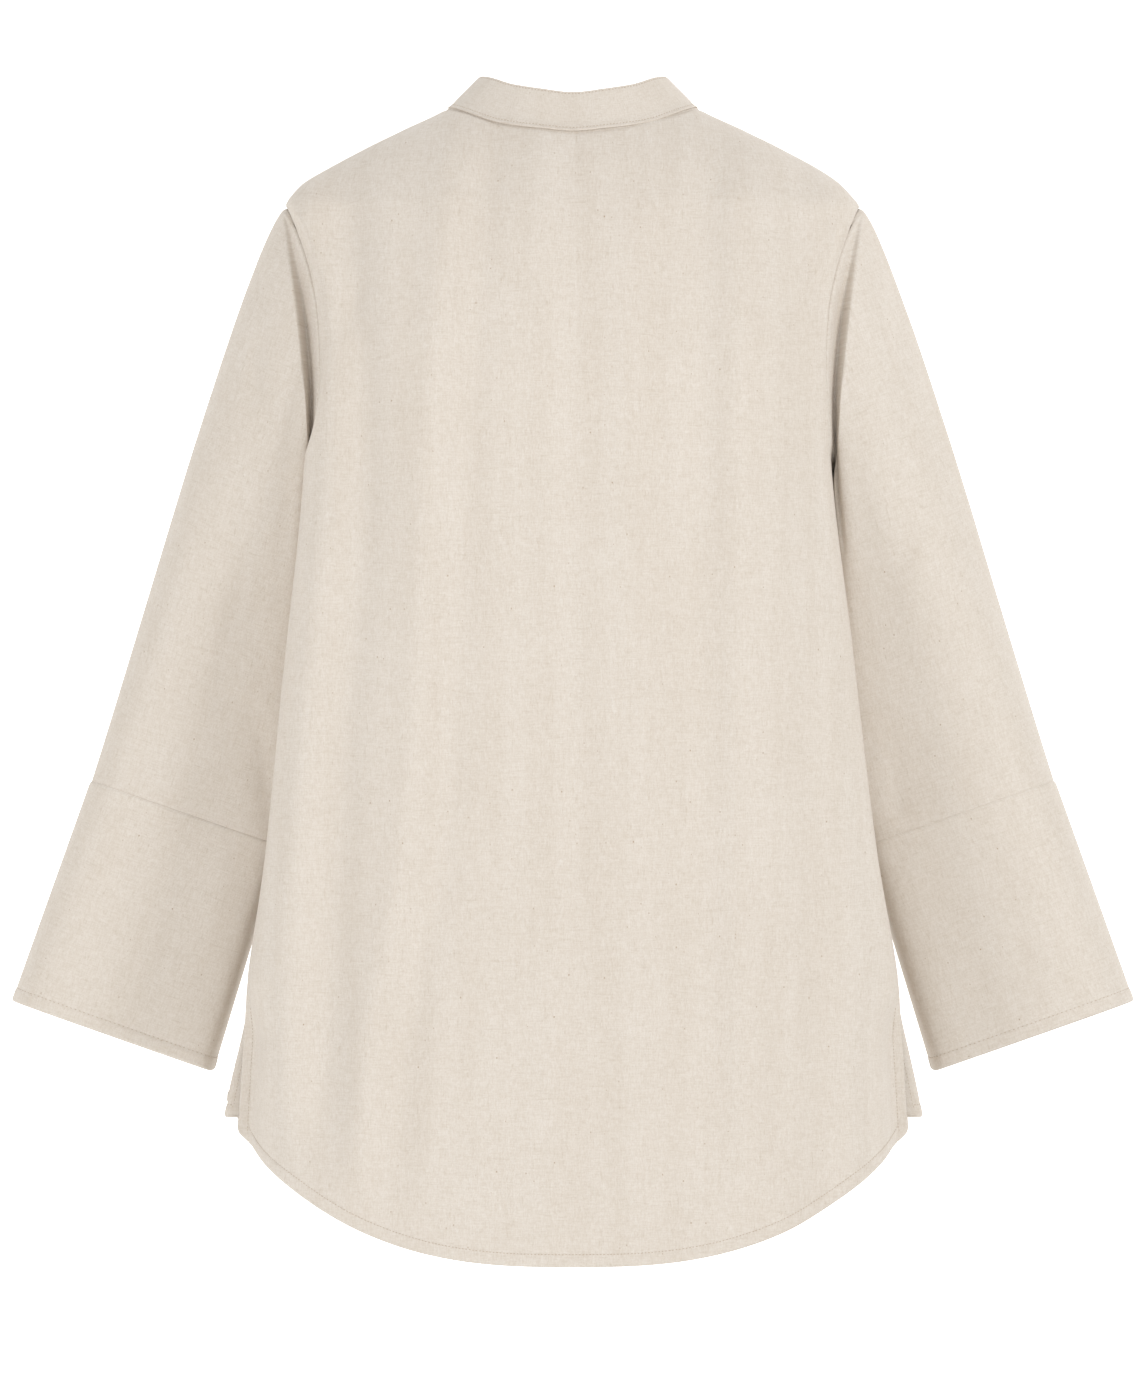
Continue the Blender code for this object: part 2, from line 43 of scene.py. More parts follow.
shirt = {
    "cloth": 0.0006,           # the shell's thickness
    "seamGap": 0.0003,
    "sideSeamGap": 0.0006,
    "layer": 0.0040,           # the outer front stands this far off the inner one
    "shoulderPoint": -0.0703,  # levels, down from the neck points
    "underarm": -0.255,
    "slitTop": -0.628,
    "frontHem": -0.716,
    "backCorner": -0.7256,
    "backHem": -0.8134,
    "tailCurve": 2.75,
    "neckHalfWidth": 0.086,
    "backNeckDrop": 0.0196,
    "shoulderEase": 0.0028,
    "wrapCrossing": -0.115,
    "innerFreeEdge": 0.140,
    "outerEdgeShare": 0.70,    # of the way to the side at the underarm, and more below
    "outerEdgeSlant": 0.21,
    "outerHemDrop": 0.011,
    "cornerRise": 0.020,       # the outer front's round lower corner
    "cornerReach": 0.045,
    "backScoop": 0.26,         # armhole depth, as a share of the half girth
    "frontScoop": 0.30,
    "armholeRoundness": 0.76,
    "foldGain": 2.0,
    "sideFade": 0.050,
    "armholeFade": 0.022,
}
seams = {
    "groove": 0.00055,         # how deep a seam sinks, and how wide
    "grooveWidth": 0.0009,
    "tuck": 0.0018,            # how deep a sleeve's edge goes in under the body's
    "turnIn": 0.0013,          # a turned edge lies this far under the cloth
    "foldUp": 0.0012,          # and a hem's this far above its fold
    "slitFlat": 0.0125,        # this much of a slit's edge lies flat
    "hem": 0.0087,             # stitch line above the back and front hems
    "slitHem": 0.0083,
    "cuffHem": 0.0100,
    "pucker": 0.00022,
    "puckerLean": 0.35,
    "puckerWaves": ((1.0, 0.0071, 0.0), (0.8, 0.0113, 1.3), (0.6, 0.0052, 0.4)),
    "bead": 0.00045,           # the body's side of a seam stands up this much
    "beadAt": 0.0017,
    "beadWidth": 0.0011,
    "edgeRound": 0.0006,
    "edgeWidth": 0.0008,
    "band": 0.0004,
    "stitchDip": 0.00045,
    "stitchDipWidth": 0.0008,
}

# level sections of the body: two half superellipses that meet where it is widest
formColumns = ("level", "backHalfWidth", "frontHalfWidth", "back", "front",
               "widestY", "backSquare", "frontSquare", "seamY")
bodyForm = (
    (+0.0300, 0.0600, 0.0600, 0.040, 0.020, 0.000, 2.00, 2.0, -0.008),
    (+0.0000, 0.0886, 0.0886, 0.048, 0.032, 0.000, 2.00, 2.0, -0.008),
    (-0.0156, 0.1200, 0.1200, 0.059, 0.043, 0.000, 2.00, 2.0, -0.008),
    (-0.0298, 0.1490, 0.1490, 0.069, 0.053, 0.000, 2.00, 2.0, -0.009),
    (-0.0440, 0.1754, 0.1754, 0.077, 0.062, 0.000, 2.05, 2.0, -0.010),
    (-0.0582, 0.1953, 0.1953, 0.083, 0.071, 0.000, 2.15, 2.1, -0.010),
    (-0.0703, 0.2060, 0.2060, 0.088, 0.079, 0.000, 2.25, 2.1, -0.010),
    (-0.0940, 0.2030, 0.2020, 0.095, 0.093, 0.000, 2.40, 2.2, -0.010),
    (-0.1150, 0.1970, 0.1960, 0.099, 0.104, 0.001, 2.70, 2.3, -0.010),
    (-0.1434, 0.1890, 0.1880, 0.103, 0.115, 0.003, 3.10, 2.4, -0.010),
    (-0.1750, 0.1830, 0.1830, 0.106, 0.123, 0.007, 3.50, 2.3, -0.010),
    (-0.2000, 0.1815, 0.1815, 0.107, 0.127, 0.012, 3.50, 2.2, -0.009),
    (-0.2550, 0.1840, 0.1840, 0.107, 0.130, 0.020, 3.20, 2.0, -0.006),
    (-0.3850, 0.1980, 0.1980, 0.108, 0.128, 0.030, 2.80, 1.9, -0.002),
    (-0.5250, 0.2145, 0.2145, 0.111, 0.130, 0.027, 2.60, 2.0, +0.004),
    (-0.6300, 0.2315, 0.2315, 0.117, 0.134, 0.016, 2.60, 2.2, +0.010),
    (-0.7250, 0.2380, 0.2500, 0.123, 0.138, 0.010, 2.60, 2.3, +0.010),
    (-0.8200, 0.2430, 0.2600, 0.128, 0.142, 0.010, 2.60, 2.3, +0.010),
)

# broad soft folds of the back, from the neck down to the hem: each tilts the cloth to
# the right (positive) or to the left along a line of levels and places across
backFolds = (
    {"levels": (-0.060, -0.101, -0.207, -0.321, -0.434, -0.548, -0.662, -0.720),
     "across": (+0.176, +0.173, +0.163, +0.166, +0.177, +0.184, +0.190, +0.190),
     "width": 0.023, "depth": +0.0150},
    {"levels": (-0.030, -0.101, -0.207, -0.321, -0.434, -0.548, -0.662, -0.760),
     "across": (+0.070, +0.078, +0.086, +0.092, +0.097, +0.108, +0.130, +0.138),
     "width": 0.019, "depth": +0.0100},
    {"levels": (-0.030, -0.820), "across": (+0.012, +0.004), "width": 0.016, "depth": +0.0030},
    {"levels": (-0.101, -0.500, -0.760), "across": (-0.050, -0.050, -0.056),
     "width": 0.018, "depth": +0.0045},
    {"levels": (-0.050, -0.101, -0.321, -0.548, -0.820),
     "across": (-0.144, -0.150, -0.154, -0.156, -0.160),
     "width": 0.026, "depth": +0.0060},
    {"levels": (-0.060, -0.321, -0.760), "across": (-0.102, -0.102, -0.106),
     "width": 0.020, "depth": -0.0090},
)
foldColumns = ("arcTop", "arcBottom", "width", "depth", "top", "bottom")
frontFolds = (
    (+0.090, +0.130, 0.026, -0.0030, -0.250, -0.700),
    (-0.020, +0.020, 0.030, +0.0026, -0.300, -0.700),
    (-0.100, -0.140, 0.026, -0.0030, -0.220, -0.700),
)


# reading the form
def soften(x):
    x = np.clip(x, 0.0, 1.0)
    return x * x * (3 - 2 * x)


def bell(x):
    return np.exp(-x**2)


def unit(vectors):
    return vectors / np.linalg.norm(vectors, axis=-1, keepdims=True)


def readForm(column, at):
    # smooth between the rows, without overshoot
    xs = -np.array([row[0] for row in bodyForm])
    ys = np.array([row[formColumns.index(column)] for row in bodyForm])
    gap = np.diff(xs)
    rise = np.diff(ys) / gap
    slope = np.zeros(len(xs))
    for i in range(1, len(xs) - 1):
        if rise[i - 1] * rise[i] > 0:
            slope[i] = 2 * rise[i - 1] * rise[i] / (rise[i - 1] + rise[i])
    slope[0], slope[-1] = rise[0], rise[-1]
    x = np.clip(-np.asarray(at, dtype=float), xs[0], xs[-1])
    i = np.clip(np.searchsorted(xs, x, side="right") - 1, 0, len(gap) - 1)
    t = (x - xs[i]) / gap[i]
    return ((2 * t**3 - 3 * t**2 + 1) * ys[i] + (t**3 - 2 * t**2 + t) * gap[i] * slope[i]
            + (3 * t**2 - 2 * t**3) * ys[i + 1] + (t**3 - t**2) * gap[i] * slope[i + 1])


chartTop = 0.030
chartStep = 0.001
chartLevels = chartTop - chartStep * np.arange(861)
arcStep = 0.002
chartArcs = arcStep * np.arange(240)


def chartSections(facing):
    # x and y at each level and each arc from the centre line, and the side seam's arc
    at = {name: readForm(name, chartLevels) for name in formColumns[1:]}
    turn = np.linspace(0, math.pi / 2, 181)
    xs, ys, sides = [], [], []
    for i in range(len(chartLevels)):
        halves = {}
        for half, sign in (("back", 1), ("front", -1)):
            power = 2 / at[half + "Square"][i]
            reach = at[half][i] - sign * at["widestY"][i]
            halves[half] = (at[facing + "HalfWidth"][i] * np.sin(turn)**power,
                            at["widestY"][i] + sign * reach * np.cos(turn)**power)
        other = "front" if facing == "back" else "back"
        x = np.concatenate([halves[facing][0], halves[other][0][-2::-1]])
        y = np.concatenate([halves[facing][1], halves[other][1][-2::-1]])
        arc = np.concatenate([[0], np.cumsum(np.hypot(np.diff(x), np.diff(y)))])
        xs.append(np.interp(chartArcs, arc, x))
        ys.append(np.interp(chartArcs, arc, y))
        past = y < at["seamY"][i] if facing == "back" else y > at["seamY"][i]
        k = int(np.argmax(past))
        part = (at["seamY"][i] - y[k - 1]) / (y[k] - y[k - 1])
        sides.append(arc[k - 1] + part * (arc[k] - arc[k - 1]))
    return np.array(xs), np.array(ys), np.array(sides)


charts = {facing: chartSections(facing) for facing in ("back", "front")}


def sideArc(level, facing):
    return np.interp(-np.asarray(level, dtype=float), -chartLevels, charts[facing][2])


def onForm(arc, level, facing):
    xs, ys, _ = charts[facing]
    row = np.clip((chartTop - level) / chartStep, 0, len(chartLevels) - 1.001)
    column = np.clip(np.abs(arc) / arcStep, 0, len(chartArcs) - 1.001)
    i = row.astype(int)
    j = column.astype(int)
    u = row - i
    v = column - j
    read = lambda chart: ((chart[i, j] * (1 - v) + chart[i, j + 1] * v) * (1 - u)
                          + (chart[i + 1, j] * (1 - v) + chart[i + 1, j + 1] * v) * u)
    return np.stack([np.where(arc < 0, -1, 1) * read(xs), read(ys), level + 0 * arc], axis=-1)


def outward(arc, level, facing):
    step = 0.002
    across = onForm(arc + step, level, facing) - onForm(arc - step, level, facing)
    down = onForm(arc, level - step, facing) - onForm(arc, level + step, facing)
    out = np.cross(down, across) if facing == "front" else np.cross(across, down)
    return unit(out)


def foldHeight(arc, level, folds):
    height = 0 * arc
    for row in folds:
        fold = dict(zip(foldColumns, row))
        along = (fold["top"] - level) / (fold["top"] - fold["bottom"])
        middle = fold["arcTop"] + (fold["arcBottom"] - fold["arcTop"]) * along
        ends = soften((along + 0.2) / 0.4) * soften((1.2 - along) / 0.4)
        height = height + fold["depth"] * ends * bell((arc - middle) / fold["width"])
    return shirt["foldGain"] * height


def backFoldHeight(arc, level):
    x = onForm(arc, level, "back")[..., 0]
    height = 0 * x
    for fold in backFolds:
        middle = np.interp(-level, [-low for low in fold["levels"]], fold["across"])
        off = (x - middle) / fold["width"]
        top, bottom = fold["levels"][0], fold["levels"][-1]
        ends = soften((top + 0.04 - level) / 0.06) * soften((level - bottom + 0.05) / 0.10)
        height = height + fold["depth"] * ends * off * bell(off)
    return height


def foldFade(arc, level, facing):
    # folds die away towards the side seam and the armhole's edge
    fade = soften((sideArc(level, facing) - np.abs(arc)) / shirt["sideFade"])
    atArmhole = (soften((level - shirt["underarm"]) / 0.02)
                 * soften((shirt["shoulderPoint"] + 0.02 - level) / 0.02))
    nearEdge = 1 - soften((armholeEnd(level, facing) - np.abs(arc)) / shirt["armholeFade"])
    return fade * (1 - atArmhole * nearEdge)


# creases are soft troughs (negative) and ridges, each from one (x, z) to another
def creaseHeight(x, z, creases):
    height = 0 * x
    for fromX, fromZ, toX, toZ, bend, width, depth in creases:
        alongX, alongZ = toX - fromX, toZ - fromZ
        length = math.hypot(alongX, alongZ)
        t = ((x - fromX) * alongX + (z - fromZ) * alongZ) / length**2
        off = ((x - fromX) * alongZ - (z - fromZ) * alongX) / length
        off = off - bend * 4 * t * (1 - t)
        wander = 1 + 0.25 * np.sin(9.0 * t + 40 * fromX) + 0.12 * np.sin(23.0 * t + 70 * toZ)
        ends = np.sqrt(np.clip(4 * t * (1 - t), 0, 1))
        height = height + depth * wander * ends * bell(off / width)
    return height


# outlines of the cut pieces
def scooped(level, facing, inward):
    # how far the armhole cuts in, fading from its edge (0) to the far edge (1)
    down = (shirt["shoulderPoint"] - level) / (shirt["shoulderPoint"] - shirt["underarm"])
    inside = np.clip(4 * down * (1 - down), 0, 1)
    sharpness = shirt["armholeRoundness"] / 2 + 2 * inward
    depth = shirt[facing + "Scoop"] * wholeArc(level, facing)
    return depth * inside**sharpness * (1 - inward)**3


def wholeArc(level, facing):
    return sideArc(np.minimum(level, shirt["shoulderPoint"]), facing) - shirt["sideSeamGap"] / 2


def armholeEnd(level, facing):
    return wholeArc(level, facing) - scooped(level, facing, 0.0)


def settle(rule, count, low=-1.0, high=0.0):
    # where a falling rule gives back what it is given
    low = np.full(count, low)
    high = np.full(count, high)
    for _ in range(40):
        middle = (low + high) / 2
        below = rule(middle) > middle
        low = np.where(below, middle, low)
        high = np.where(below, high, middle)
    return (low + high) / 2


def backNeckLevel(x):
    return -shirt["backNeckDrop"] * (1 - (x / shirt["neckHalfWidth"])**2)


def backHemLevel(x):
    corner = readForm("backHalfWidth", shirt["backCorner"])
    rise = shirt["backCorner"] - shirt["backHem"]
    return shirt["backHem"] + rise * (np.abs(x) / corner)**shirt["tailCurve"]


def wrapEdgeLevel(arc):
    start = sideArc(0.0, "front")
    return shirt["wrapCrossing"] * (arc + start) / start


def outerFreeArc(level):
    down = soften((shirt["underarm"] - level) / (shirt["underarm"] - shirt["frontHem"]))
    share = shirt["outerEdgeShare"] + shirt["outerEdgeSlant"] * down
    return share * sideArc(np.minimum(level, shirt["underarm"]), "front")


def innerFreeArc(level):
    return shirt["innerFreeEdge"] + 0 * level


def outerLift(arc, level):
    fromEdge = armholeEnd(level, "front") + arc
    atSide = soften(arc / sideArc(level, "front") / 0.30 - 2.3)
    fade = soften(fromEdge / 0.06) * soften((-0.012 - level) / 0.045) * (1 - 0.55 * atSide)
    return shirt["layer"] * fade


def innerLift(arc, level):
    return 0 * arc


def outerHemLevel(arc, level):
    toEdge = outerFreeArc(level) - arc
    corner = shirt["cornerRise"] * (1 - soften(toEdge / shirt["cornerReach"]))
    drop = shirt["outerHemDrop"] * soften((arc + 0.10) / 0.20)
    return shirt["frontHem"] - drop + corner


def innerHemLevel(arc, level):
    return shirt["frontHem"] + 0 * arc


def rowFractions(corner):
    # from a column's top to its hem: close together at the armhole's ends and the hem
    turns = np.linspace(0, math.pi, 71)
    armhole = (1 - np.cos(turns)) / 2 * (shirt["shoulderPoint"] - shirt["underarm"])
    whole = shirt["shoulderPoint"] - corner
    toUnderarm = shirt["shoulderPoint"] - shirt["underarm"]
    hemRows = np.array([0.0145, 0.012, 0.0105, 0.0096, 0.0087, 0.0078, 0.0068, 0.0052,
                        0.0036, 0.0022, 0.0011, 0.0004, 0.0])
    side = np.linspace(toUnderarm, whole - 0.017, int((whole - toUnderarm - 0.017) / 0.0032))
    return np.concatenate([armhole, side[1:], whole - hemRows]) / whole


edgeSteps = np.array([0.0, 0.0004, 0.0011, 0.0022, 0.0036, 0.0052, 0.0066, 0.0076, 0.0083,
                      0.0090, 0.0100, 0.0120, 0.0145])


def spread(start, end, step):
    count = max(2, int(round((end - start) / step)) + 1)
    return np.linspace(start, end, count)


# making a cloth piece
def clothGrid(name, points, uvs, closed=False):
    rows, columns = points.shape[:2]
    bpy.ops.mesh.primitive_grid_add(x_subdivisions=columns - 1, y_subdivisions=rows - 1, size=1)
    piece = bpy.context.object
    piece.name = name
    mesh = piece.data
    mesh.name = name
    mesh.vertices.foreach_set("co", points.reshape(-1).astype(np.float32))
    corners = np.empty(len(mesh.loops), dtype=np.int32)
    mesh.loops.foreach_get("vertex_index", corners)
    mesh.uv_layers[0].data.foreach_set("uv", uvs.reshape(-1, 2)[corners].reshape(-1).astype(np.float32))
    mesh.update()
    if closed:
        bpy.ops.object.mode_set(mode="EDIT")
        bpy.ops.mesh.select_all(action="SELECT")
        bpy.ops.mesh.remove_doubles(threshold=0.00001)
        bpy.ops.object.mode_set(mode="OBJECT")
    return piece


def facesOutward(piece, away):
    # turn the faces the other way round if they look inwards
    mesh = piece.data
    centres = np.empty(len(mesh.polygons) * 3, dtype=np.float32)
    normals = np.empty(len(mesh.polygons) * 3, dtype=np.float32)
    mesh.polygons.foreach_get("center", centres)
    mesh.polygons.foreach_get("normal", normals)
    spoke = centres.reshape(-1, 3) - away
    if np.sum(spoke * normals.reshape(-1, 3)) < 0:
        mesh.flip_normals()


def roundEdges(piece, width, degrees):
    bpy.context.view_layer.objects.active = piece
    edge = piece.modifiers.new("edge", "BEVEL")
    edge.width = width
    edge.segments = 2
    edge.limit_method = "ANGLE"
    edge.angle_limit = math.radians(degrees)
    bpy.ops.object.modifier_apply(modifier=edge.name)
    piece.data.shade_smooth()


def thicken(piece, thickness):
    bpy.context.view_layer.objects.active = piece
    wall = piece.modifiers.new("cloth", "SOLIDIFY")
    wall.thickness = thickness
    wall.offset = -1
    bpy.ops.object.modifier_apply(modifier=wall.name)
    piece.data.shade_smooth()


def finishPiece(piece, node, material):
    piece.data.materials.clear()
    piece.data.materials.append(material)
    if node:
        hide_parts(node)
    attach(piece, "root")
    piece.select_set(False)


def groove(distance):
    return -seams["groove"] * bell(distance / seams["grooveWidth"])


def seamEdge(distance):
    # the body's side of a seam stands up a little beside the groove
    return groove(distance) + seams["bead"] * bell((distance - seams["beadAt"]) / seams["beadWidth"])


def rolledEdge(distance, hemWidth):
    # a turned hem: rounded at its edge, thicker across, and drawn in at its stitches
    edge = -seams["edgeRound"] * bell(distance / seams["edgeWidth"])
    band = seams["band"] * soften(distance / 0.002) * soften((hemWidth + 0.0012 - distance) / 0.0024)
    return edge + band - seams["stitchDip"] * bell((distance - hemWidth) / seams["stitchDipWidth"])


def puckers(along, distance, hemWidth):
    # short uneven ripples that the stitches draw up across a hem
    turns = 2 * math.pi * (along + seams["puckerLean"] * distance)
    ripple = sum(size * np.sin(turns / length + start) for size, length, start in seams["puckerWaves"])
    patch = 0.55 + 0.45 * np.sin(turns / 0.087 + 0.8)
    return seams["pucker"] * ripple * patch * bell((distance - 0.55 * hemWidth) / (0.75 * hemWidth))


# linen
linenSizes = {
    "colour": (0.740, 0.684, 0.620, 1.0),
    "shade": (0.885, 0.855, 0.815, 1.0),
    "lift": (0.16, 0.16, 0.16, 1.0),
    "threads": 1450.0,         # a metre
    "fleckSpacing": 200.0,
    "fleckSize": 0.12,
    "fleckColour": (0.36, 0.24, 0.14, 1.0),
    "roughness": 0.92,
    "specular": 0.18,
    "sheen": 0.12,
    "sheenRoughness": 0.6,
    "relief": 0.0004,
    "reliefStrength": 0.26,
}
# uneven fields: how fine across and along the warp, a metre, their detail and their shift
linenFields = (
    ("warp", (1250.0, 200.0), 2.0, 0.0),
    ("weft", (170.0, 1250.0), 2.0, 4.0),
    ("slub", (700.0, 130.0), 1.0, 9.0),
    ("crossSlub", (90.0, 800.0), 1.0, 15.0),
    ("grain", (1000.0, 700.0), 2.0, 31.0),
    ("band", (60.0, 3.5), 2.0, 27.0),
    ("cloud", (24.0, 19.2), 3.0, 21.0),
)
# how each darkens or lightens the cloth: from, to, how much
linenShades = (
    ("warp", 0.35, 0.68, 0.42, "MULTIPLY"),
    ("weft", 0.36, 0.66, 0.38, "MULTIPLY"),
    ("grain", 0.36, 0.66, 0.42, "MULTIPLY"),
    ("slub", 0.64, 0.76, 0.45, "MULTIPLY"),
    ("crossSlub", 0.58, 0.76, 0.32, "MULTIPLY"),
    ("slub", 0.36, 0.25, 0.45, "SCREEN"),
    ("cloud", 0.36, 0.68, 0.12, "MULTIPLY"),
    ("band", 0.38, 0.66, 0.20, "MULTIPLY"),
)


def newMaterial(name, roughness):
    material = bpy.data.materials.new(name)
    material.use_nodes = True
    shader = material.node_tree.nodes["Principled BSDF"]
    shader.inputs["Roughness"].default_value = roughness
    return material, shader


def setInputs(node, inputs):
    # each input takes a plain value or a link from another node's socket
    for key, value in inputs.items():
        if isinstance(value, bpy.types.NodeSocket):
            node.id_data.links.new(value, node.inputs[key])
        else:
            node.inputs[key].default_value = value


def addNode(material, kind, inputs, **settings):
    node = material.node_tree.nodes.new("ShaderNode" + kind)
    for name, value in settings.items():
        setattr(node, name, value)
    setInputs(node, inputs)
    return node


def makeLinen(name, seed):
    material, shader = newMaterial(name, linenSizes["roughness"])
    setInputs(shader, {"Specular IOR Level": linenSizes["specular"], "Sheen Weight": linenSizes["sheen"],
                       "Sheen Roughness": linenSizes["sheenRoughness"]})
    cloth = addNode(material, "UVMap", {}).outputs["UV"]

    def noise(scale, detail, shift):
        place = addNode(material, "Mapping", {
            "Vector": cloth, "Scale": (scale[0], scale[1], 1.0),
            "Location": (seed * 3.7 + shift, seed * 1.9, seed * 0.61 + shift)})
        field = addNode(material, "TexNoise", {
            "Vector": place.outputs["Vector"], "Scale": 1.0, "Detail": detail, "Roughness": 0.55})
        return field.outputs["Fac"]

    def bend(value, low, high, toLow, toHigh):
        step = addNode(material, "MapRange", {
            "Value": value, "From Min": low, "From Max": high, "To Min": toLow, "To Max": toHigh},
            interpolation_type="SMOOTHSTEP")
        return step.outputs["Result"]

    def calc(kind, *values):
        return addNode(material, "Math", dict(enumerate(values)), operation=kind).outputs["Value"]

    def tint(base, factor, kind, shade):
        mix = addNode(material, "Mix", {}, data_type="RGBA", blend_type=kind)
        setInputs(mix, {"Factor": factor, "A": base, "B": shade})
        return mix.outputs["Result"]

    fields = {field: noise(scale, detail, shift) for field, scale, detail, shift in linenFields}
    colour = linenSizes["colour"]
    for field, low, high, amount, kind in linenShades:
        shade = linenSizes["shade"] if kind == "MULTIPLY" else linenSizes["lift"]
        colour = tint(colour, bend(fields[field], low, high, 0.0, amount), kind, shade)

    # small brown flecks of straw, scattered unevenly
    spacing = linenSizes["fleckSpacing"]
    place = addNode(material, "Mapping", {
        "Vector": cloth, "Scale": (spacing, spacing * 0.7, 1.0),
        "Location": (seed * 0.37, seed * 0.53, 0.0)})
    cells = addNode(material, "TexVoronoi", {"Vector": place.outputs["Vector"], "Scale": 1.0})
    pick = addNode(material, "SeparateColor", {"Color": cells.outputs["Color"]})
    size = calc("MULTIPLY", bend(pick.outputs["Red"], 0.30, 1.0, 0.0, 1.0), linenSizes["fleckSize"])
    near = calc("SUBTRACT", size, cells.outputs["Distance"])
    fleck = calc("MULTIPLY", bend(near, 0.0, 0.045, 0.0, 0.70),
                 bend(pick.outputs["Green"], 0.0, 1.0, 0.35, 1.0))
    colour = tint(colour, fleck, "MIX", linenSizes["fleckColour"])

    # relief: threads over and under, with the slubs standing proud
    split = addNode(material, "SeparateXYZ", {"Vector": cloth})
    waves = [calc("SINE", calc("MULTIPLY", split.outputs[axis], linenSizes["threads"] * math.pi))
             for axis in ("X", "Y")]
    relief = calc("MULTIPLY", calc("MULTIPLY", *waves), 0.16)
    for proud in (calc("MULTIPLY", fields["warp"], 0.9), calc("MULTIPLY", fields["weft"], 0.7),
                  bend(fields["slub"], 0.60, 0.75, 0.0, 0.8),
                  bend(fields["crossSlub"], 0.64, 0.78, 0.0, 0.6)):
        relief = calc("ADD", relief, proud)
    bump = addNode(material, "Bump", {
        "Height": relief, "Strength": linenSizes["reliefStrength"], "Distance": linenSizes["relief"]})
    setInputs(shader, {"Base Color": colour, "Normal": bump.outputs["Normal"]})
    return material


linen = makeLinen("linen", 1.0)
sleeveLinen = makeLinen("linen_sleeve", 2.3)
collarLinen = makeLinen("linen_collar", 3.1)

threadSizes = {
    "colour": (0.50, 0.40, 0.30, 1.0),
    "radius": 0.00024,
    "length": 0.00145,
    "pitch": 0.0024,
    "cuffPitch": 0.0033,
    "rise": 0.00005,
    "unevenPitch": 0.00008,
    "unevenLean": 0.06,
}
thread, threadShader = newMaterial("thread", 0.8)
setInputs(threadShader, {"Base Color": threadSizes["colour"], "Sheen Weight": 0.1})
print("materials made")


# one stitch, a short rounded bar, then copied along lines
def makeStitch():
    bpy.ops.mesh.primitive_uv_sphere_add(segments=6, ring_count=4, radius=1.0)
    stitch = bpy.context.object
    points = np.array([corner.co for corner in stitch.data.vertices])
    faces = [list(face.vertices) for face in stitch.data.polygons]
    bpy.data.objects.remove(stitch, do_unlink=True)
    return points[:, [2, 0, 1]], faces        # its length along the first axis


stitchPoints, stitchFaces = makeStitch()
sewn = {}


def crossing(values, fields, target):
    # in each column, the place between rows where a field passes the target
    over = fields > target
    rows = []
    for j in range(fields.shape[1]):
        change = np.nonzero(over[:-1, j] != over[1:, j])[0]
        if len(change):
            i = change[-1]
            part = (target - fields[i, j]) / (fields[i + 1, j] - fields[i, j])
            rows.append([value[i, j] + (value[i + 1, j] - value[i, j]) * part for value in values])
    return [np.array(column) for column in zip(*rows)]


def layStitch(group, middle, ahead, wide, up, size):
    local = stitchPoints * size
    sewn.setdefault(group, []).append(
        middle + local[:, :1] * ahead + local[:, 1:2] * wide + local[:, 2:3] * up)


def sew(group, path, out, pitch=None, slack=0.0):
    # lay stitches along a line of points, sunk a little into the cloth
    pitch = pitch or threadSizes["pitch"]
    steps = np.linalg.norm(np.diff(path, axis=0), axis=-1)
    along = np.concatenate([[0], np.cumsum(steps)])
    keep = np.concatenate([[True], steps > 1e-7])
    path, out, along = path[keep], out[keep], along[keep]
    count = int((along[-1] - slack) / pitch)
    if count < 1:
        return
    rng = np.random.default_rng(len(sewn.get(group, [])) + 17)
    at = slack / 2 + pitch * (np.arange(count) + 0.5) + rng.normal(0, threadSizes["unevenPitch"], count)
    read = lambda values, where: np.stack(
        [np.interp(where, along, values[:, k]) for k in range(3)], axis=-1)
    middle = read(path, at)
    ahead = unit(read(path, at + 0.0006) - read(path, at - 0.0006))
    up = read(out, at)
    up = unit(up - ahead * np.sum(up * ahead, axis=-1, keepdims=True))
    wide = np.cross(up, ahead)
    size = np.array([threadSizes["length"] / 2, threadSizes["radius"] * 1.15, threadSizes["radius"] * 0.8])
    lean = rng.normal(0, threadSizes["unevenLean"], count)[:, None]
    ahead, wide = ahead + wide * lean, wide - ahead * lean
    for k in range(count):
        layStitch(group, middle[k] + up[k] * threadSizes["rise"], ahead[k], wide[k], up[k], size)


def joinStitches(group, name):
    copies = sewn[group]
    points = np.concatenate(copies)
    faces = []
    for k in range(len(copies)):
        base = k * len(stitchPoints)
        faces += [[base + corner for corner in face] for face in stitchFaces]
    mesh = bpy.data.meshes.new(name)
    mesh.from_pydata(points.tolist(), [], faces)
    mesh.shade_smooth()
    piece = bpy.data.objects.new(name, mesh)
    bpy.context.collection.objects.link(piece)
    finishPiece(piece, None, thread)
    print(name, len(copies), "stitches")


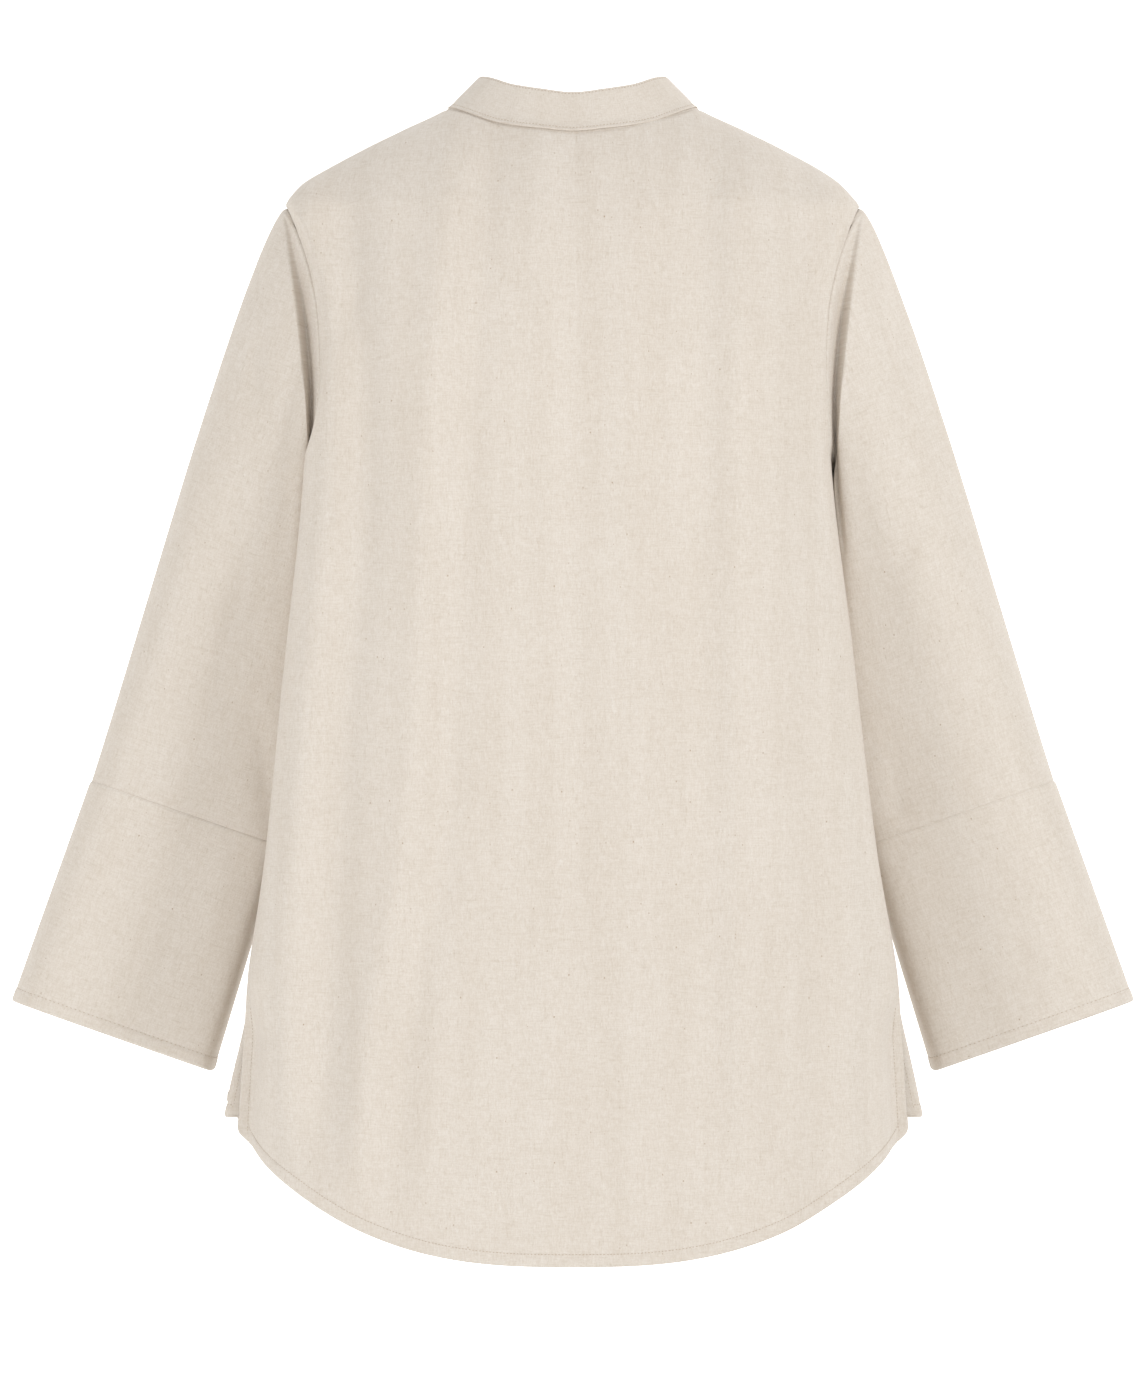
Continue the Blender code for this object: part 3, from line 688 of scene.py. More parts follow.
# back
backPiece = {
    "step": 0.0031,
    "slitIn": 0.0115,
    "slitFront": 0.0080,
    "creases": (
        (-0.003, -0.018, -0.003, -0.042, 0.000, 0.0011, -0.0008),
        (+0.1925, -0.080, +0.182, -0.116, 0.001, 0.0026, -0.0016),
        (+0.1890, -0.078, +0.177, -0.116, 0.001, 0.0036, +0.0012),
        (-0.1920, -0.082, -0.181, -0.118, 0.001, 0.0030, -0.0016),
        (-0.1870, -0.084, -0.175, -0.122, 0.001, 0.0040, +0.0010),
        (-0.182, -0.082, -0.170, -0.120, 0.001, 0.0060, +0.0010),
        (-0.041, -0.020, -0.047, -0.055, 0.002, 0.0030, -0.0007),
        (-0.063, -0.016, -0.072, -0.060, 0.002, 0.0034, -0.0009),
        (-0.088, -0.018, -0.104, -0.085, 0.003, 0.0050, -0.0012),
        (+0.034, -0.020, +0.040, -0.050, 0.001, 0.0030, -0.0005),
        (+0.074, -0.012, +0.090, -0.070, 0.002, 0.0050, -0.0010),
        (+0.196, -0.600, +0.222, -0.640, 0.003, 0.0040, -0.0008),
        (-0.196, -0.604, -0.224, -0.634, 0.003, 0.0040, -0.0010),
        (-0.150, -0.105, -0.188, -0.165, 0.006, 0.0060, -0.0012),
        (+0.150, -0.120, +0.184, -0.180, 0.006, 0.0060, -0.0010),
        (+0.030, -0.250, +0.022, -0.520, 0.006, 0.0100, -0.0010),
        (-0.010, -0.300, -0.016, -0.640, 0.005, 0.0130, +0.0009),
        (-0.125, -0.520, -0.140, -0.760, 0.006, 0.0120, -0.0012),
        (+0.100, -0.560, +0.108, -0.770, 0.006, 0.0120, +0.0010),
        (+0.176, -0.300, +0.196, -0.560, 0.004, 0.0080, +0.0010),
        (-0.176, -0.290, -0.190, -0.480, 0.004, 0.0080, +0.0010),
    ),
}


def backArc(share, level):
    return share * wholeArc(level, "back") - scooped(level, "back", 1 - share)


def belowSlit(levels):
    return soften((shirt["slitTop"] + 0.015 - levels) / 0.05)


def flangeIn(arcs, levels):
    # the back's slit edge lies flat: 0 at the edge, 1 at the flange's root, then back to 0
    near = np.maximum(sideDistance(arcs, levels, "back"), 0)
    u = near / seams["slitFlat"]
    lie = u / (1 + u**4)**(1 / 4)
    return lie * (1 - soften((near - 0.024) / 0.075)) * belowSlit(levels)


def backX(arcs, levels):
    return np.abs(onForm(arcs, levels, "back")[..., 0]) - backPiece["slitIn"] * flangeIn(arcs, levels)


def shoulderLevel(arcs, facing):
    levels = chartLevels[(chartLevels <= 0) & (chartLevels >= shirt["shoulderPoint"] - 0.001)]
    seamArcs = sideArc(levels, facing) - shirt["sideSeamGap"] / 2
    return np.maximum(np.interp(arcs, seamArcs, levels), shirt["shoulderPoint"])


def backGrid():
    neckArc = sideArc(0.0, "back") - shirt["sideSeamGap"] / 2
    whole = wholeArc(shirt["shoulderPoint"], "back")
    half = np.concatenate([
        spread(0.0, neckArc, backPiece["step"])[:-1],
        spread(neckArc, whole - 0.0165, backPiece["step"])[:-1],
        (whole - edgeSteps)[::-1]])
    neck = half[half < neckArc]
    neckTops = settle(lambda low: backNeckLevel(onForm(neck, low, "back")[..., 0]), len(neck))
    tops = np.concatenate([neckTops, shoulderLevel(half[half >= neckArc], "back")])
    tops[-1] = shirt["shoulderPoint"]
    share = half / whole
    hems = settle(lambda low: backHemLevel(backX(backArc(share, low), low)), len(share))
    return share, tops, hems


def panelFields(share, tops, hems, fractions, arcRule):
    # arc, level and the distances to the top edge and the hem, all as rows by columns
    levels = tops[None, :] + (hems - tops)[None, :] * fractions[:, None]
    arcs = arcRule(share[None, :] + 0 * levels, levels)
    hemSlope = np.gradient(hems, arcs[-1])
    topSlope = np.gradient(tops, arcs[0])
    toHem = (levels - hems[None, :]) / np.sqrt(1 + hemSlope**2)[None, :]
    toTop = (tops[None, :] - levels) / np.sqrt(1 + topSlope**2)[None, :]
    return arcs, levels, toTop, toHem


def shoulderEase(points):
    # the cloth at the shoulder point lies a little inside the form
    point = onForm(wholeArc(shirt["shoulderPoint"], "back"), shirt["shoulderPoint"], "back")
    gap = np.abs(points) - np.abs(point)
    return shirt["shoulderEase"] * np.exp(-np.sum(gap[..., [0, 2]]**2, axis=-1) / 0.016**2)


def sideDistance(arcs, levels, facing):
    edge = armholeEnd(levels, facing)
    slope = (armholeEnd(levels + 0.0005, facing) - armholeEnd(levels - 0.0005, facing)) / 0.001
    return (edge - np.abs(arcs)) / np.sqrt(1 + slope**2)


def panelPoints(arcs, levels, facing, height, side=1):
    at = side * arcs
    return onForm(at, levels, facing) + outward(at, levels, facing) * height[..., None]


def sewHem(group, flat, out, toSide, toHem):
    path, lineOut, fromSide = crossing((flat, out, toSide), toHem, seams["hem"])
    inside = fromSide > seams["slitHem"] - 0.0008
    sew(group, path[inside], lineOut[inside], slack=0.002)


def sewEdge(group, flat, out, distance, at, rows=np.s_[:], columns=np.s_[:]):
    turned = [values[rows].swapaxes(0, 1)[columns] for values in (flat, out, distance)]
    path, lineOut = crossing(turned[:2], turned[2], at)
    sew(group, path[:-3], lineOut[:-3], slack=0.004)


def makePanel(name, node, shaped, arcs, levels, height, shift):
    # an extra row and column along each edge lies folded in under the cloth
    arcs, levels, height = (np.pad(values, 1, mode="edge") for values in (arcs, levels, height))
    levels[-1, :] += seams["foldUp"]
    for edge in (np.s_[0, :], np.s_[-1, :], np.s_[:, 0], np.s_[:, -1]):
        height[edge] -= seams["turnIn"]
    piece = clothGrid(name, shaped(arcs, levels, height), np.stack([arcs + shift, levels], axis=-1))
    facesOutward(piece, np.array([0.0, 0.0, -0.4]))
    thicken(piece, shirt["cloth"])
    finishPiece(piece, node, linen)
    return piece


def makeBack():
    share, tops, hems = backGrid()
    fractions = rowFractions(shirt["backCorner"])
    arcs, levels, toTop, toHem = panelFields(share, tops, hems, fractions, backArc)
    toSide = sideDistance(arcs, levels, "back")
    mirror = lambda values: np.concatenate([values[:, :0:-1], values], axis=1)
    signed = np.concatenate([-arcs[:, :0:-1], arcs], axis=1)
    levels, toTop, toHem, toSide = mirror(levels), mirror(toTop), mirror(toHem), mirror(toSide)
    inSlit = soften((shirt["slitTop"] - levels) / 0.006)
    base = onForm(signed, levels, "back")
    height = foldFade(signed, levels, "back") * backFoldHeight(signed, levels)
    height += soften(toSide / 0.006) * creaseHeight(base[..., 0], base[..., 2], backPiece["creases"])
    atShoulder = np.abs(signed[:1]) > sideArc(0.0, "back")
    height += groove(toTop) * atShoulder
    height -= shoulderEase(base)
    height -= (1 - atShoulder) * 0.0008 * bell((toTop - 0.0012) / 0.0010)
    height += (1 - inSlit) * seamEdge(toSide) + inSlit * rolledEdge(toSide, seams["slitHem"])
    height += rolledEdge(toHem, seams["hem"]) + puckers(signed, toHem, seams["hem"])
    height += 0.25 * inSlit * puckers(levels, toSide, seams["slitHem"])

    def shaped(arcs, levels, height):
        points = panelPoints(arcs, levels, "back", height)
        lie = flangeIn(arcs, levels)
        points[..., 0] -= np.where(arcs < 0, -1, 1) * backPiece["slitIn"] * lie
        points[..., 1] -= backPiece["slitFront"] * lie
        return points

    flat = shaped(signed, levels, height)
    out = outward(signed, levels, "back")
    sewHem("back", flat, out, toSide, toHem)
    rows = levels[:, 0] < shirt["slitTop"]
    for half in (np.s_[:len(share) - 1], np.s_[len(share):]):
        sewEdge("back", flat, out, toSide, seams["slitHem"], rows, half)
    piece = makePanel("back_linen", "back", shaped, signed, levels, height, 0.0)


makeBack()
joinStitches("back", "back_stitches")
print("back made")


# fronts
frontPiece = {
    "step": 0.0034,
    "edgeHem": 0.0100,
    "slitIn": 0.0145,          # along the slit the cloth turns in flat, to lie behind the back
    "slitBack": 0.0125,
    "slitFront": 0.0030,
    "outerCreases": (
        (-0.150, -0.110, -0.120, -0.240, 0.006, 0.0080, -0.0014),
        (-0.170, -0.250, -0.080, -0.330, 0.010, 0.0090, -0.0012),
        (-0.100, -0.290, +0.020, -0.420, 0.012, 0.0110, +0.0012),
        (+0.110, -0.330, +0.060, -0.560, 0.008, 0.0120, -0.0014),
        (+0.020, -0.180, -0.060, -0.360, 0.010, 0.0120, -0.0012),
        (-0.060, -0.420, -0.070, -0.680, 0.008, 0.0130, -0.0013),
        (-0.150, -0.400, -0.180, -0.660, 0.008, 0.0120, +0.0013),
        (+0.140, -0.480, +0.170, -0.690, 0.006, 0.0110, +0.0012),
        (+0.010, -0.500, +0.020, -0.700, 0.006, 0.0140, +0.0011),
        (+0.135, -0.372, +0.095, -0.385, 0.002, 0.0035, -0.0007),
        (+0.135, -0.372, +0.100, -0.415, 0.003, 0.0040, -0.0007),
    ),
    "innerCreases": (
        (+0.150, -0.100, +0.110, -0.200, 0.006, 0.0080, -0.0013),
        (+0.170, -0.140, +0.140, -0.250, 0.004, 0.0070, +0.0010),
        (+0.080, -0.070, +0.060, -0.140, 0.004, 0.0080, -0.0010),
    ),
}


def frontArc(share, level, freeArc):
    near = wholeArc(level, "front")
    return share * (freeArc(level) + near) - near + scooped(level, "front", share)


def wrapStations(freeArc, step):
    # where the columns meet the wrap edge: share, arc and level
    start = sideArc(0.0, "front")
    end = settle(lambda low: wrapEdgeLevel(freeArc(low)), 1)[0]
    endArc = start * (end / shirt["wrapCrossing"] - 1)
    count = int((endArc + start) / step)
    levels = end * np.arange(1, count + 1) / count
    arcs = start * (levels / shirt["wrapCrossing"] - 1)
    shares = settle(lambda near: near + arcs - frontArc(near, levels, freeArc), count, 0.0, 1.0)
    return shares, arcs, levels


def frontGrid(freeArc, hemRule):
    whole = wholeArc(shirt["shoulderPoint"], "front")
    neckArc = sideArc(0.0, "front") - shirt["sideSeamGap"] / 2
    fromEdge = np.concatenate([edgeSteps, spread(0.0165, whole - neckArc, frontPiece["step"])])
    shoulderTops = shoulderLevel(whole - fromEdge, "front")
    shoulderTops[0] = shirt["shoulderPoint"]
    shoulderTops[-1] = 0.0
    shoulderShares = fromEdge / (whole + freeArc(shoulderTops))
    wrapShares, _, wrapLevels = wrapStations(freeArc, frontPiece["step"])
    # finer columns along the free edge
    last = 0.0150 / (whole + freeArc(shirt["underarm"]))
    keep = wrapShares < 1 - last
    edgeShares = 1 - edgeSteps[::-1] / (whole + freeArc(shirt["underarm"]))
    edgeLevels = settle(lambda low: wrapEdgeLevel(frontArc(edgeShares, low, freeArc)), len(edgeShares))
    share = np.concatenate([shoulderShares, wrapShares[keep], edgeShares])
    tops = np.concatenate([shoulderTops, wrapLevels[keep], edgeLevels])
    hems = settle(lambda low: hemRule(frontArc(share, low, freeArc), low), len(share))
    return share, tops, hems


def makeFront(name, node, side, freeArc, hemRule, liftRule, creases):
    share, tops, hems = frontGrid(freeArc, hemRule)
    fractions = rowFractions(shirt["frontHem"])
    arcs, levels, toTop, toHem = panelFields(
        share, tops, hems, fractions, lambda s, level: frontArc(s, level, freeArc))
    toSide = sideDistance(-arcs, levels, "front") + 2 * np.maximum(arcs, 0)
    toFree = freeArc(levels) - arcs
    inSlit = soften((shirt["slitTop"] - levels) / 0.006)
    base = onForm(side * arcs, levels, "front")
    lift = liftRule(arcs, levels)
    height = lift + foldFade(arcs, levels, "front") * foldHeight(side * arcs, levels, frontFolds)
    height += soften(toSide / 0.006) * creaseHeight(base[..., 0], base[..., 2], creases)
    height += groove(toTop) * (arcs[:1] < -sideArc(0.0, "front"))
    height -= shoulderEase(base)
    height += (1 - inSlit) * groove(toSide) + inSlit * rolledEdge(toSide, seams["slitHem"])
    height += rolledEdge(toHem, seams["hem"]) + puckers(arcs, toHem, seams["hem"])
    height += rolledEdge(toFree, frontPiece["edgeHem"])
    height += 0.4 * puckers(levels, toFree, frontPiece["edgeHem"])

    def shaped(arcs, levels, height):
        points = panelPoints(arcs, levels, "front", height, side)
        near = np.maximum(sideDistance(-arcs, levels, "front") + 2 * np.maximum(arcs, 0), 0)
        u = near / frontPiece["slitIn"]
        lie = u / (1 + u**6)**(1 / 6)
        below = belowSlit(levels)
        points[..., 0] += side * frontPiece["slitIn"] * (1 - lie) * below
        points[..., 1] += frontPiece["slitBack"] * lie * (1 - soften((near - 0.018) / 0.060)) * below
        points[..., 1] -= frontPiece["slitFront"] * (1 - soften(near / 0.060)) * below
        return points

    flat = shaped(arcs, levels, height)
    out = outward(side * arcs, levels, "front")
    sewHem("fronts", flat, out, toSide, toHem)
    sewEdge("fronts", flat, out, toFree, frontPiece["edgeHem"])
    rows = levels[:, 0] < shirt["slitTop"]
    sewEdge("fronts", flat, out, toSide, seams["slitHem"], rows, np.s_[:len(share) // 2])
    piece = makePanel(name, node, shaped, arcs, levels, height, 1.7 * side)


makeFront("front_outer_linen", "front_outer", 1, outerFreeArc, outerHemLevel,
          outerLift, frontPiece["outerCreases"])
makeFront("front_inner_linen", "front_inner", -1, innerFreeArc, innerHemLevel,
          innerLift, frontPiece["innerCreases"])
joinStitches("fronts", "front_stitches")
print("fronts made")


# button
buttonPiece = {
    "level": -0.372,
    "fromEdge": 0.018,
    "radius": 0.0065,
    "thickness": 0.0024,
    "rim": 0.0012,
    "dish": 0.0007,
    "hole": 0.00065,
    "holesApart": 0.0024,
    "edge": 0.0003,
    "colour": (0.42, 0.33, 0.23, 1.0),
    "pale": (0.66, 0.57, 0.44, 1.0),
}


def makeHorn():
    material, shader = newMaterial("horn", 0.32)
    place = addNode(material, "TexCoord", {})
    grain = addNode(material, "TexNoise", {
        "Vector": place.outputs["Object"], "Scale": 260.0, "Detail": 4.0, "Distortion": 1.4})
    blend = addNode(material, "Mix", {}, data_type="RGBA")
    setInputs(blend, {"Factor": grain.outputs["Fac"], "A": buttonPiece["colour"], "B": buttonPiece["pale"]})
    setInputs(shader, {"Coat Weight": 0.15, "Base Color": blend.outputs["Result"]})
    return material


def makeButton():
    level = np.array([buttonPiece["level"]])
    arc = outerFreeArc(level) - buttonPiece["fromEdge"]
    out = outward(arc, level, "front")[0]
    base = onForm(arc, level, "front")
    height = (outerLift(arc, level) + foldHeight(arc, level, frontFolds)
              + creaseHeight(base[..., 0], base[..., 2], frontPiece["outerCreases"]))
    seat = base[0] + out * (height[0] + 0.0003)
    radius, thick = buttonPiece["radius"], buttonPiece["thickness"]
    bpy.ops.mesh.primitive_cylinder_add(vertices=56, radius=radius, depth=thick)
    button = bpy.context.object
    button.name = "button_horn"
    bpy.ops.object.mode_set(mode="EDIT")
    bpy.ops.mesh.select_mode(type="FACE")
    bpy.ops.mesh.select_all(action="DESELECT")
    bpy.ops.object.mode_set(mode="OBJECT")
    for face in button.data.polygons:
        face.select = face.normal.z > 0.9
    bpy.ops.object.mode_set(mode="EDIT")
    bpy.ops.mesh.inset(thickness=buttonPiece["rim"])
    bpy.ops.mesh.inset(thickness=0.0007, depth=-buttonPiece["dish"])
    bpy.ops.object.mode_set(mode="OBJECT")
    for i in range(4):
        turn = math.pi / 4 + i * math.pi / 2
        far = buttonPiece["holesApart"] / math.sqrt(2)
        bpy.ops.mesh.primitive_cylinder_add(vertices=16, radius=buttonPiece["hole"], depth=0.02,
                                            location=(far * math.cos(turn), far * math.sin(turn), 0))
        drill = bpy.context.object
        cut = button.modifiers.new("hole", "BOOLEAN")
        cut.operation = "DIFFERENCE"
        cut.object = drill
        bpy.ops.object.select_all(action="DESELECT")
        bpy.context.view_layer.objects.active = button
        bpy.ops.object.modifier_apply(modifier=cut.name)
        bpy.data.objects.remove(drill, do_unlink=True)
    roundEdges(button, buttonPiece["edge"], 40)
    up = Vector(out.tolist())
    turn = up.to_track_quat("Z", "Y").to_matrix().to_4x4()
    place = Matrix.Translation(Vector(seat.tolist()) + up * thick / 2) @ turn
    button.data.transform(place)
    finishPiece(button, "button", makeHorn())
    # the thread that holds it, crossed between the holes
    far = buttonPiece["holesApart"] / 2
    for start, end in (((-far, -far), (far, far)), ((-far, far), (far, -far))):
        ends = [place @ Vector((x, y, thick / 2 - buttonPiece["dish"] + 0.0001)) for x, y in (start, end)]
        path = np.array([list(end) for end in ends])
        ahead = unit(path[1] - path[0])
        wide = np.cross(out, ahead)
        size = np.array([np.linalg.norm(path[1] - path[0]) / 2 + 0.0002, 0.00024, 0.00026])
        for shift in (-0.00022, 0.00022):
            layStitch("button", path.mean(axis=0) - unit(wide) * shift, ahead, wide, out, size)
    joinStitches("button", "button_thread")


makeButton()
print("button made")


# sleeves and cuffs
ringColumns = ("x", "y", "z", "halfWidth", "halfDepth", "acrossX", "acrossZ")
sleevePiece = {
    "cuffSeam": (0.2784, -0.066, -0.5031, 0.0711, 0.0500, 0.9449, 0.3276),
    "cuffHem": (0.3322, -0.094, -0.6624, 0.0765, 0.0500, 0.9438, 0.3307),
    "cuffLength": 0.166,
    "outerSquare": 3.2,
    "innerSquare": 8.0,
    "ringTilt": 0.035,
    "endTilt": -0.12,
    "grainTilt": -0.06,
    "cuffProud": 0.0009,
    "reachIn": 0.0025,
    "around": (0, 90, 135, 180, 225, 270, 360),      # how it sets off round the armhole
    "startX": (0.76, 0.68, 0.88, 0.90, 0.88, 0.62, 0.76),
    "startY": (-0.05, -0.25, -0.30, -0.25, -0.30, -0.32, -0.05),
    "startZ": (-0.64, -0.69, -0.35, -0.35, -0.35, -0.72, -0.64),
    "strength": (0.090, 0.170, 0.100, 0.050, 0.090, 0.160, 0.090),
    "endPull": 0.85,
    "topEase": (0.48, 0.0, 0.30),
    "tuckBehind": 0.013,
    "tuckUnder": 0.0012,
    "ridgeDown": (0.074, 0.085, 0.127, 0.160, 0.207, 0.250, 0.320),
    "ridgeX": (0.2060, 0.2036, 0.1980, 0.1935, 0.1882, 0.1862, 0.1860),
    "ridgeDepth": (0.000, 0.003, 0.010, 0.014, 0.014, 0.010, 0.000),
    "deepest": 0.60,           # of the way from the side to the ridge
    "frontValley": {"from": 220, "to": 322, "at": 0.060, "width": 0.036, "depth": 0.014},
    "leftCreases": (
        (0.222, -0.110, 0.230, -0.230, 0.003, 0.0070, -0.0018),
        (0.236, -0.270, 0.254, -0.430, 0.004, 0.0090, -0.0022),
        (0.205, -0.170, 0.222, -0.360, 0.003, 0.0080, +0.0014),
        (0.228, -0.420, 0.216, -0.520, 0.003, 0.0090, -0.0022),
        (0.262, -0.200, 0.300, -0.420, 0.004, 0.0110, +0.0012),
        (0.300, -0.440, 0.330, -0.560, 0.003, 0.0100, -0.0010),
        (0.248, -0.470, 0.262, -0.600, 0.003, 0.0100, +0.0010),
    ),
    "rightCreases": (
        (-0.222, -0.090, -0.236, -0.250, 0.003, 0.0080, -0.0022),
        (-0.238, -0.260, -0.226, -0.380, 0.003, 0.0090, -0.0018),
        (-0.250, -0.140, -0.292, -0.330, 0.004, 0.0110, +0.0012),
        (-0.262, -0.360, -0.300, -0.500, 0.003, 0.0100, -0.0012),
        (-0.226, -0.430, -0.232, -0.540, 0.003, 0.0090, -0.0016),
        (-0.300, -0.520, -0.330, -0.640, 0.003, 0.0100, -0.0009),
    ),
    "frontCreases": (
        (0.215, -0.120, 0.226, -0.250, 0.003, 0.0080, -0.0016),
        (0.236, -0.270, 0.226, -0.400, 0.003, 0.0090, -0.0016),
        (0.250, -0.380, 0.300, -0.420, 0.004, 0.0070, -0.0016),
        (0.240, -0.345, 0.285, -0.395, 0.004, 0.0070, -0.0014),
        (0.290, -0.440, 0.318, -0.560, 0.003, 0.0100, +0.0010),
    ),
}


def sleeveWay(tilt):
    # which way the sleeve runs
    return unit(np.array([0.31, sleevePiece[tilt], -0.943]))


def ringPoints(row, proud, turns):
    at = dict(zip(ringColumns, row))
    across = np.array([at["acrossX"], 0.0, at["acrossZ"]])
    deep = unit(np.cross(sleeveWay("ringTilt"), across))
    if deep[1] < 0:
        deep = -deep
    c, s = np.cos(turns), np.sin(turns)
    power = 2 / np.where(c > 0, sleevePiece["outerSquare"], sleevePiece["innerSquare"])
    wide = np.sign(c) * np.abs(c)**power * (at["halfWidth"] + proud)
    thick = np.sign(s) * np.abs(s)**power * (at["halfDepth"] + proud)
    middle = np.array([at["x"], at["y"], at["z"]])
    return middle + across * wide[:, None] + deep * thick[:, None]


def valley(around, along, shape):
    sweep = np.clip((around - shape["from"]) / (shape["to"] - shape["from"]), 0, 1)
    return shape["depth"] * np.sin(math.pi * sweep)**0.7 * bell((along - shape["at"]) / shape["width"])


def sleeveRows():
    # round the armhole from under the arm, over the front, the shoulder and the back
    turns = np.linspace(0, math.pi, 71)
    levels = shirt["shoulderPoint"] + (shirt["underarm"] - shirt["shoulderPoint"]) * (1 - np.cos(turns)) / 2
    overBack = onForm(armholeEnd(levels, "back"), levels, "back")
    overFront = onForm(armholeEnd(levels, "front"), levels, "front")
    start = np.concatenate([overFront[::-1], overBack[1:]])
    degrees = np.concatenate([180 + np.degrees(turns), 360 + np.degrees(turns[1:])])
    around = np.radians(degrees)
    end = ringPoints(sleevePiece["cuffSeam"], 0.0, around)
    read = lambda name: np.interp(degrees % 360, sleevePiece["around"], sleevePiece[name])
    away = unit(np.stack([read("startX"), read("startY"), read("startZ")], axis=-1))
    along = sleeveWay("endTilt")
    ease = shoulderEase(start)[:, None] * np.array(sleevePiece["topEase"])
    first = start + away * 0.0001 - ease
    last = end - along * shirt["seamGap"]
    reach = np.linalg.norm(last - first, axis=-1, keepdims=True)
    push = away * read("strength")[:, None]
    pull = along * sleevePiece["endPull"] * reach
    down = np.concatenate([[0, 0.0012, 0.0025, 0.0045, 0.007, 0.010, 0.014, 0.018],
                           spread(0.0225, 0.30, 0.0048)[:-1], spread(0.30, 0.975, 0.0080),
                           [0.982, 0.988, 0.993, 0.9965, 0.9985, 1.0]])
    t = down[:, None, None]
    points = ((2 * t**3 - 3 * t**2 + 1) * first + (t**3 - 2 * t**2 + t) * push
              + (3 * t**2 - 2 * t**3) * last + (t**3 - t**2) * pull)
    t = down[:, None]
    dip = soften(t / 0.05)
    points[..., 1] += dip * valley(degrees % 360, t, sleevePiece["frontValley"])
    # the inner edge lies in behind the body's side
    inner = ((1 - np.cos(around)) / 2)[None, :]**3
    points[..., 0] -= sleevePiece["tuckBehind"] * inner * soften(t / 0.25) * soften((1 - t) / 0.20)
    behind = np.clip(np.sin(around), 0, 1)[None, :]**0.35
    points[..., 1] -= behind * armpitFold(points[..., 0], points[..., 2])
    return points, degrees


def armpitFold(x, z):
    # between the body's side and a soft ridge, the back of the sleeve falls in
    down = -z
    above = soften((z - shirt["underarm"]) / 0.030)
    seamX = (above * onForm(armholeEnd(z, "back"), z, "back")[..., 0]
             + (1 - above) * readForm("backHalfWidth", z))
    ridgeX = np.interp(down, sleevePiece["ridgeDown"], sleevePiece["ridgeX"])
    depth = np.interp(down, sleevePiece["ridgeDown"], sleevePiece["ridgeDepth"])
    across = (x - seamX) / np.maximum(ridgeX - seamX, 0.004)
    near = np.clip(across / sleevePiece["deepest"], 0, 1)
    floor = soften(near) * 0.5 + near * 0.5
    return depth * floor * (1 - soften((across - sleevePiece["deepest"]) / 0.44))


def tubeNormals(points):
    ring = points[:, :-1]
    across = np.roll(ring, -1, axis=1) - np.roll(ring, 1, axis=1)
    down = np.gradient(ring, axis=0)
    out = np.cross(down, across)
    out = out / np.maximum(np.linalg.norm(out, axis=-1, keepdims=True), 1e-12)
    out = np.concatenate([out, out[:, :1]], axis=1)
    spoke = points - points[:, :-1].mean(axis=1, keepdims=True)
    return out if np.sum(out * spoke) > 0 else -out


def ringDistance(points):
    # how far each row lies from the first one and from the last
    steps = np.linalg.norm(np.diff(points, axis=0), axis=-1)
    gone = np.concatenate([np.zeros((1, points.shape[1])), np.cumsum(steps, axis=0)])
    return gone, gone[-1:] - gone


def girthAlong(points):
    steps = np.linalg.norm(np.diff(points, axis=1), axis=-1)
    return np.concatenate([np.zeros((points.shape[0], 1)), np.cumsum(steps, axis=1)], axis=1)


def sleeveCloth(points):
    # where each point lies on the flat cloth: round the sleeve and along its grain
    along = sleeveWay("grainTilt")
    steps = np.diff(points, axis=1)
    steps = steps - along * np.sum(steps * along, axis=-1, keepdims=True)
    girth = np.cumsum(np.linalg.norm(steps, axis=-1), axis=1)
    girth = np.concatenate([np.zeros((points.shape[0], 1)), girth], axis=1)
    middle = girth[:, points.shape[1] // 2][:, None]
    return np.stack([girth - middle, -np.sum(points * along, axis=-1)], axis=-1)


def makeTube(name, node, points, height, sign, material, under):
    # under: how far the last row reaches in under the next piece
    out = tubeNormals(points)
    body = points + out * height[..., None]
    first = body[0] - out[0] * seams["turnIn"] - unit(body[1] - body[0]) * sleevePiece["reachIn"]
    last = body[-1] + unit(points[-1] - points[-2]) * under - out[-1] * seams["turnIn"]
    grid = np.concatenate([first[None], body, last[None]])
    uvs = sleeveCloth(grid)
    uvs[..., 0] += 3.0 * sign
    across = np.array([sign, 1.0, 1.0])
    grid = grid * across
    piece = clothGrid(name, grid, uvs, closed=True)
    facesOutward(piece, grid.reshape(-1, 3).mean(axis=0))
    thicken(piece, shirt["cloth"])
    finishPiece(piece, node, material)
    return body * across, out * across


def sleeveCreases(points, sign, degrees):
    # back creases on the back half only, and the plainer front ones on the front half
    turned = np.sin(np.radians(degrees))
    behind = np.clip(turned, 0, 1)**0.7
    before = np.clip(-turned, 0, 1)**0.7
    own = sleevePiece["leftCreases"] if sign > 0 else sleevePiece["rightCreases"]
    height = behind * creaseHeight(sign * points[..., 0], points[..., 2], own)
    return height + before * creaseHeight(points[..., 0], points[..., 2], sleevePiece["frontCreases"])


def cuffRows(degrees):
    turns = np.radians(degrees)
    top = ringPoints(sleevePiece["cuffSeam"], sleevePiece["cuffProud"], turns)
    bottom = ringPoints(sleevePiece["cuffHem"], 0.0, turns)
    length = sleevePiece["cuffLength"]
    down = np.concatenate([np.array([0, 0.0005, 0.0012, 0.0022, 0.0036, 0.0055]) / length,
                           spread(0.008 / length, 1 - 0.0175 / length, 0.0031 / length),
                           1 - np.array([0.0155, 0.0135, 0.012, 0.011, 0.010, 0.009, 0.008, 0.0062,
                                         0.0045, 0.003, 0.0018, 0.0008, 0.0]) / length])
    return top + (bottom - top) * down[:, None, None]


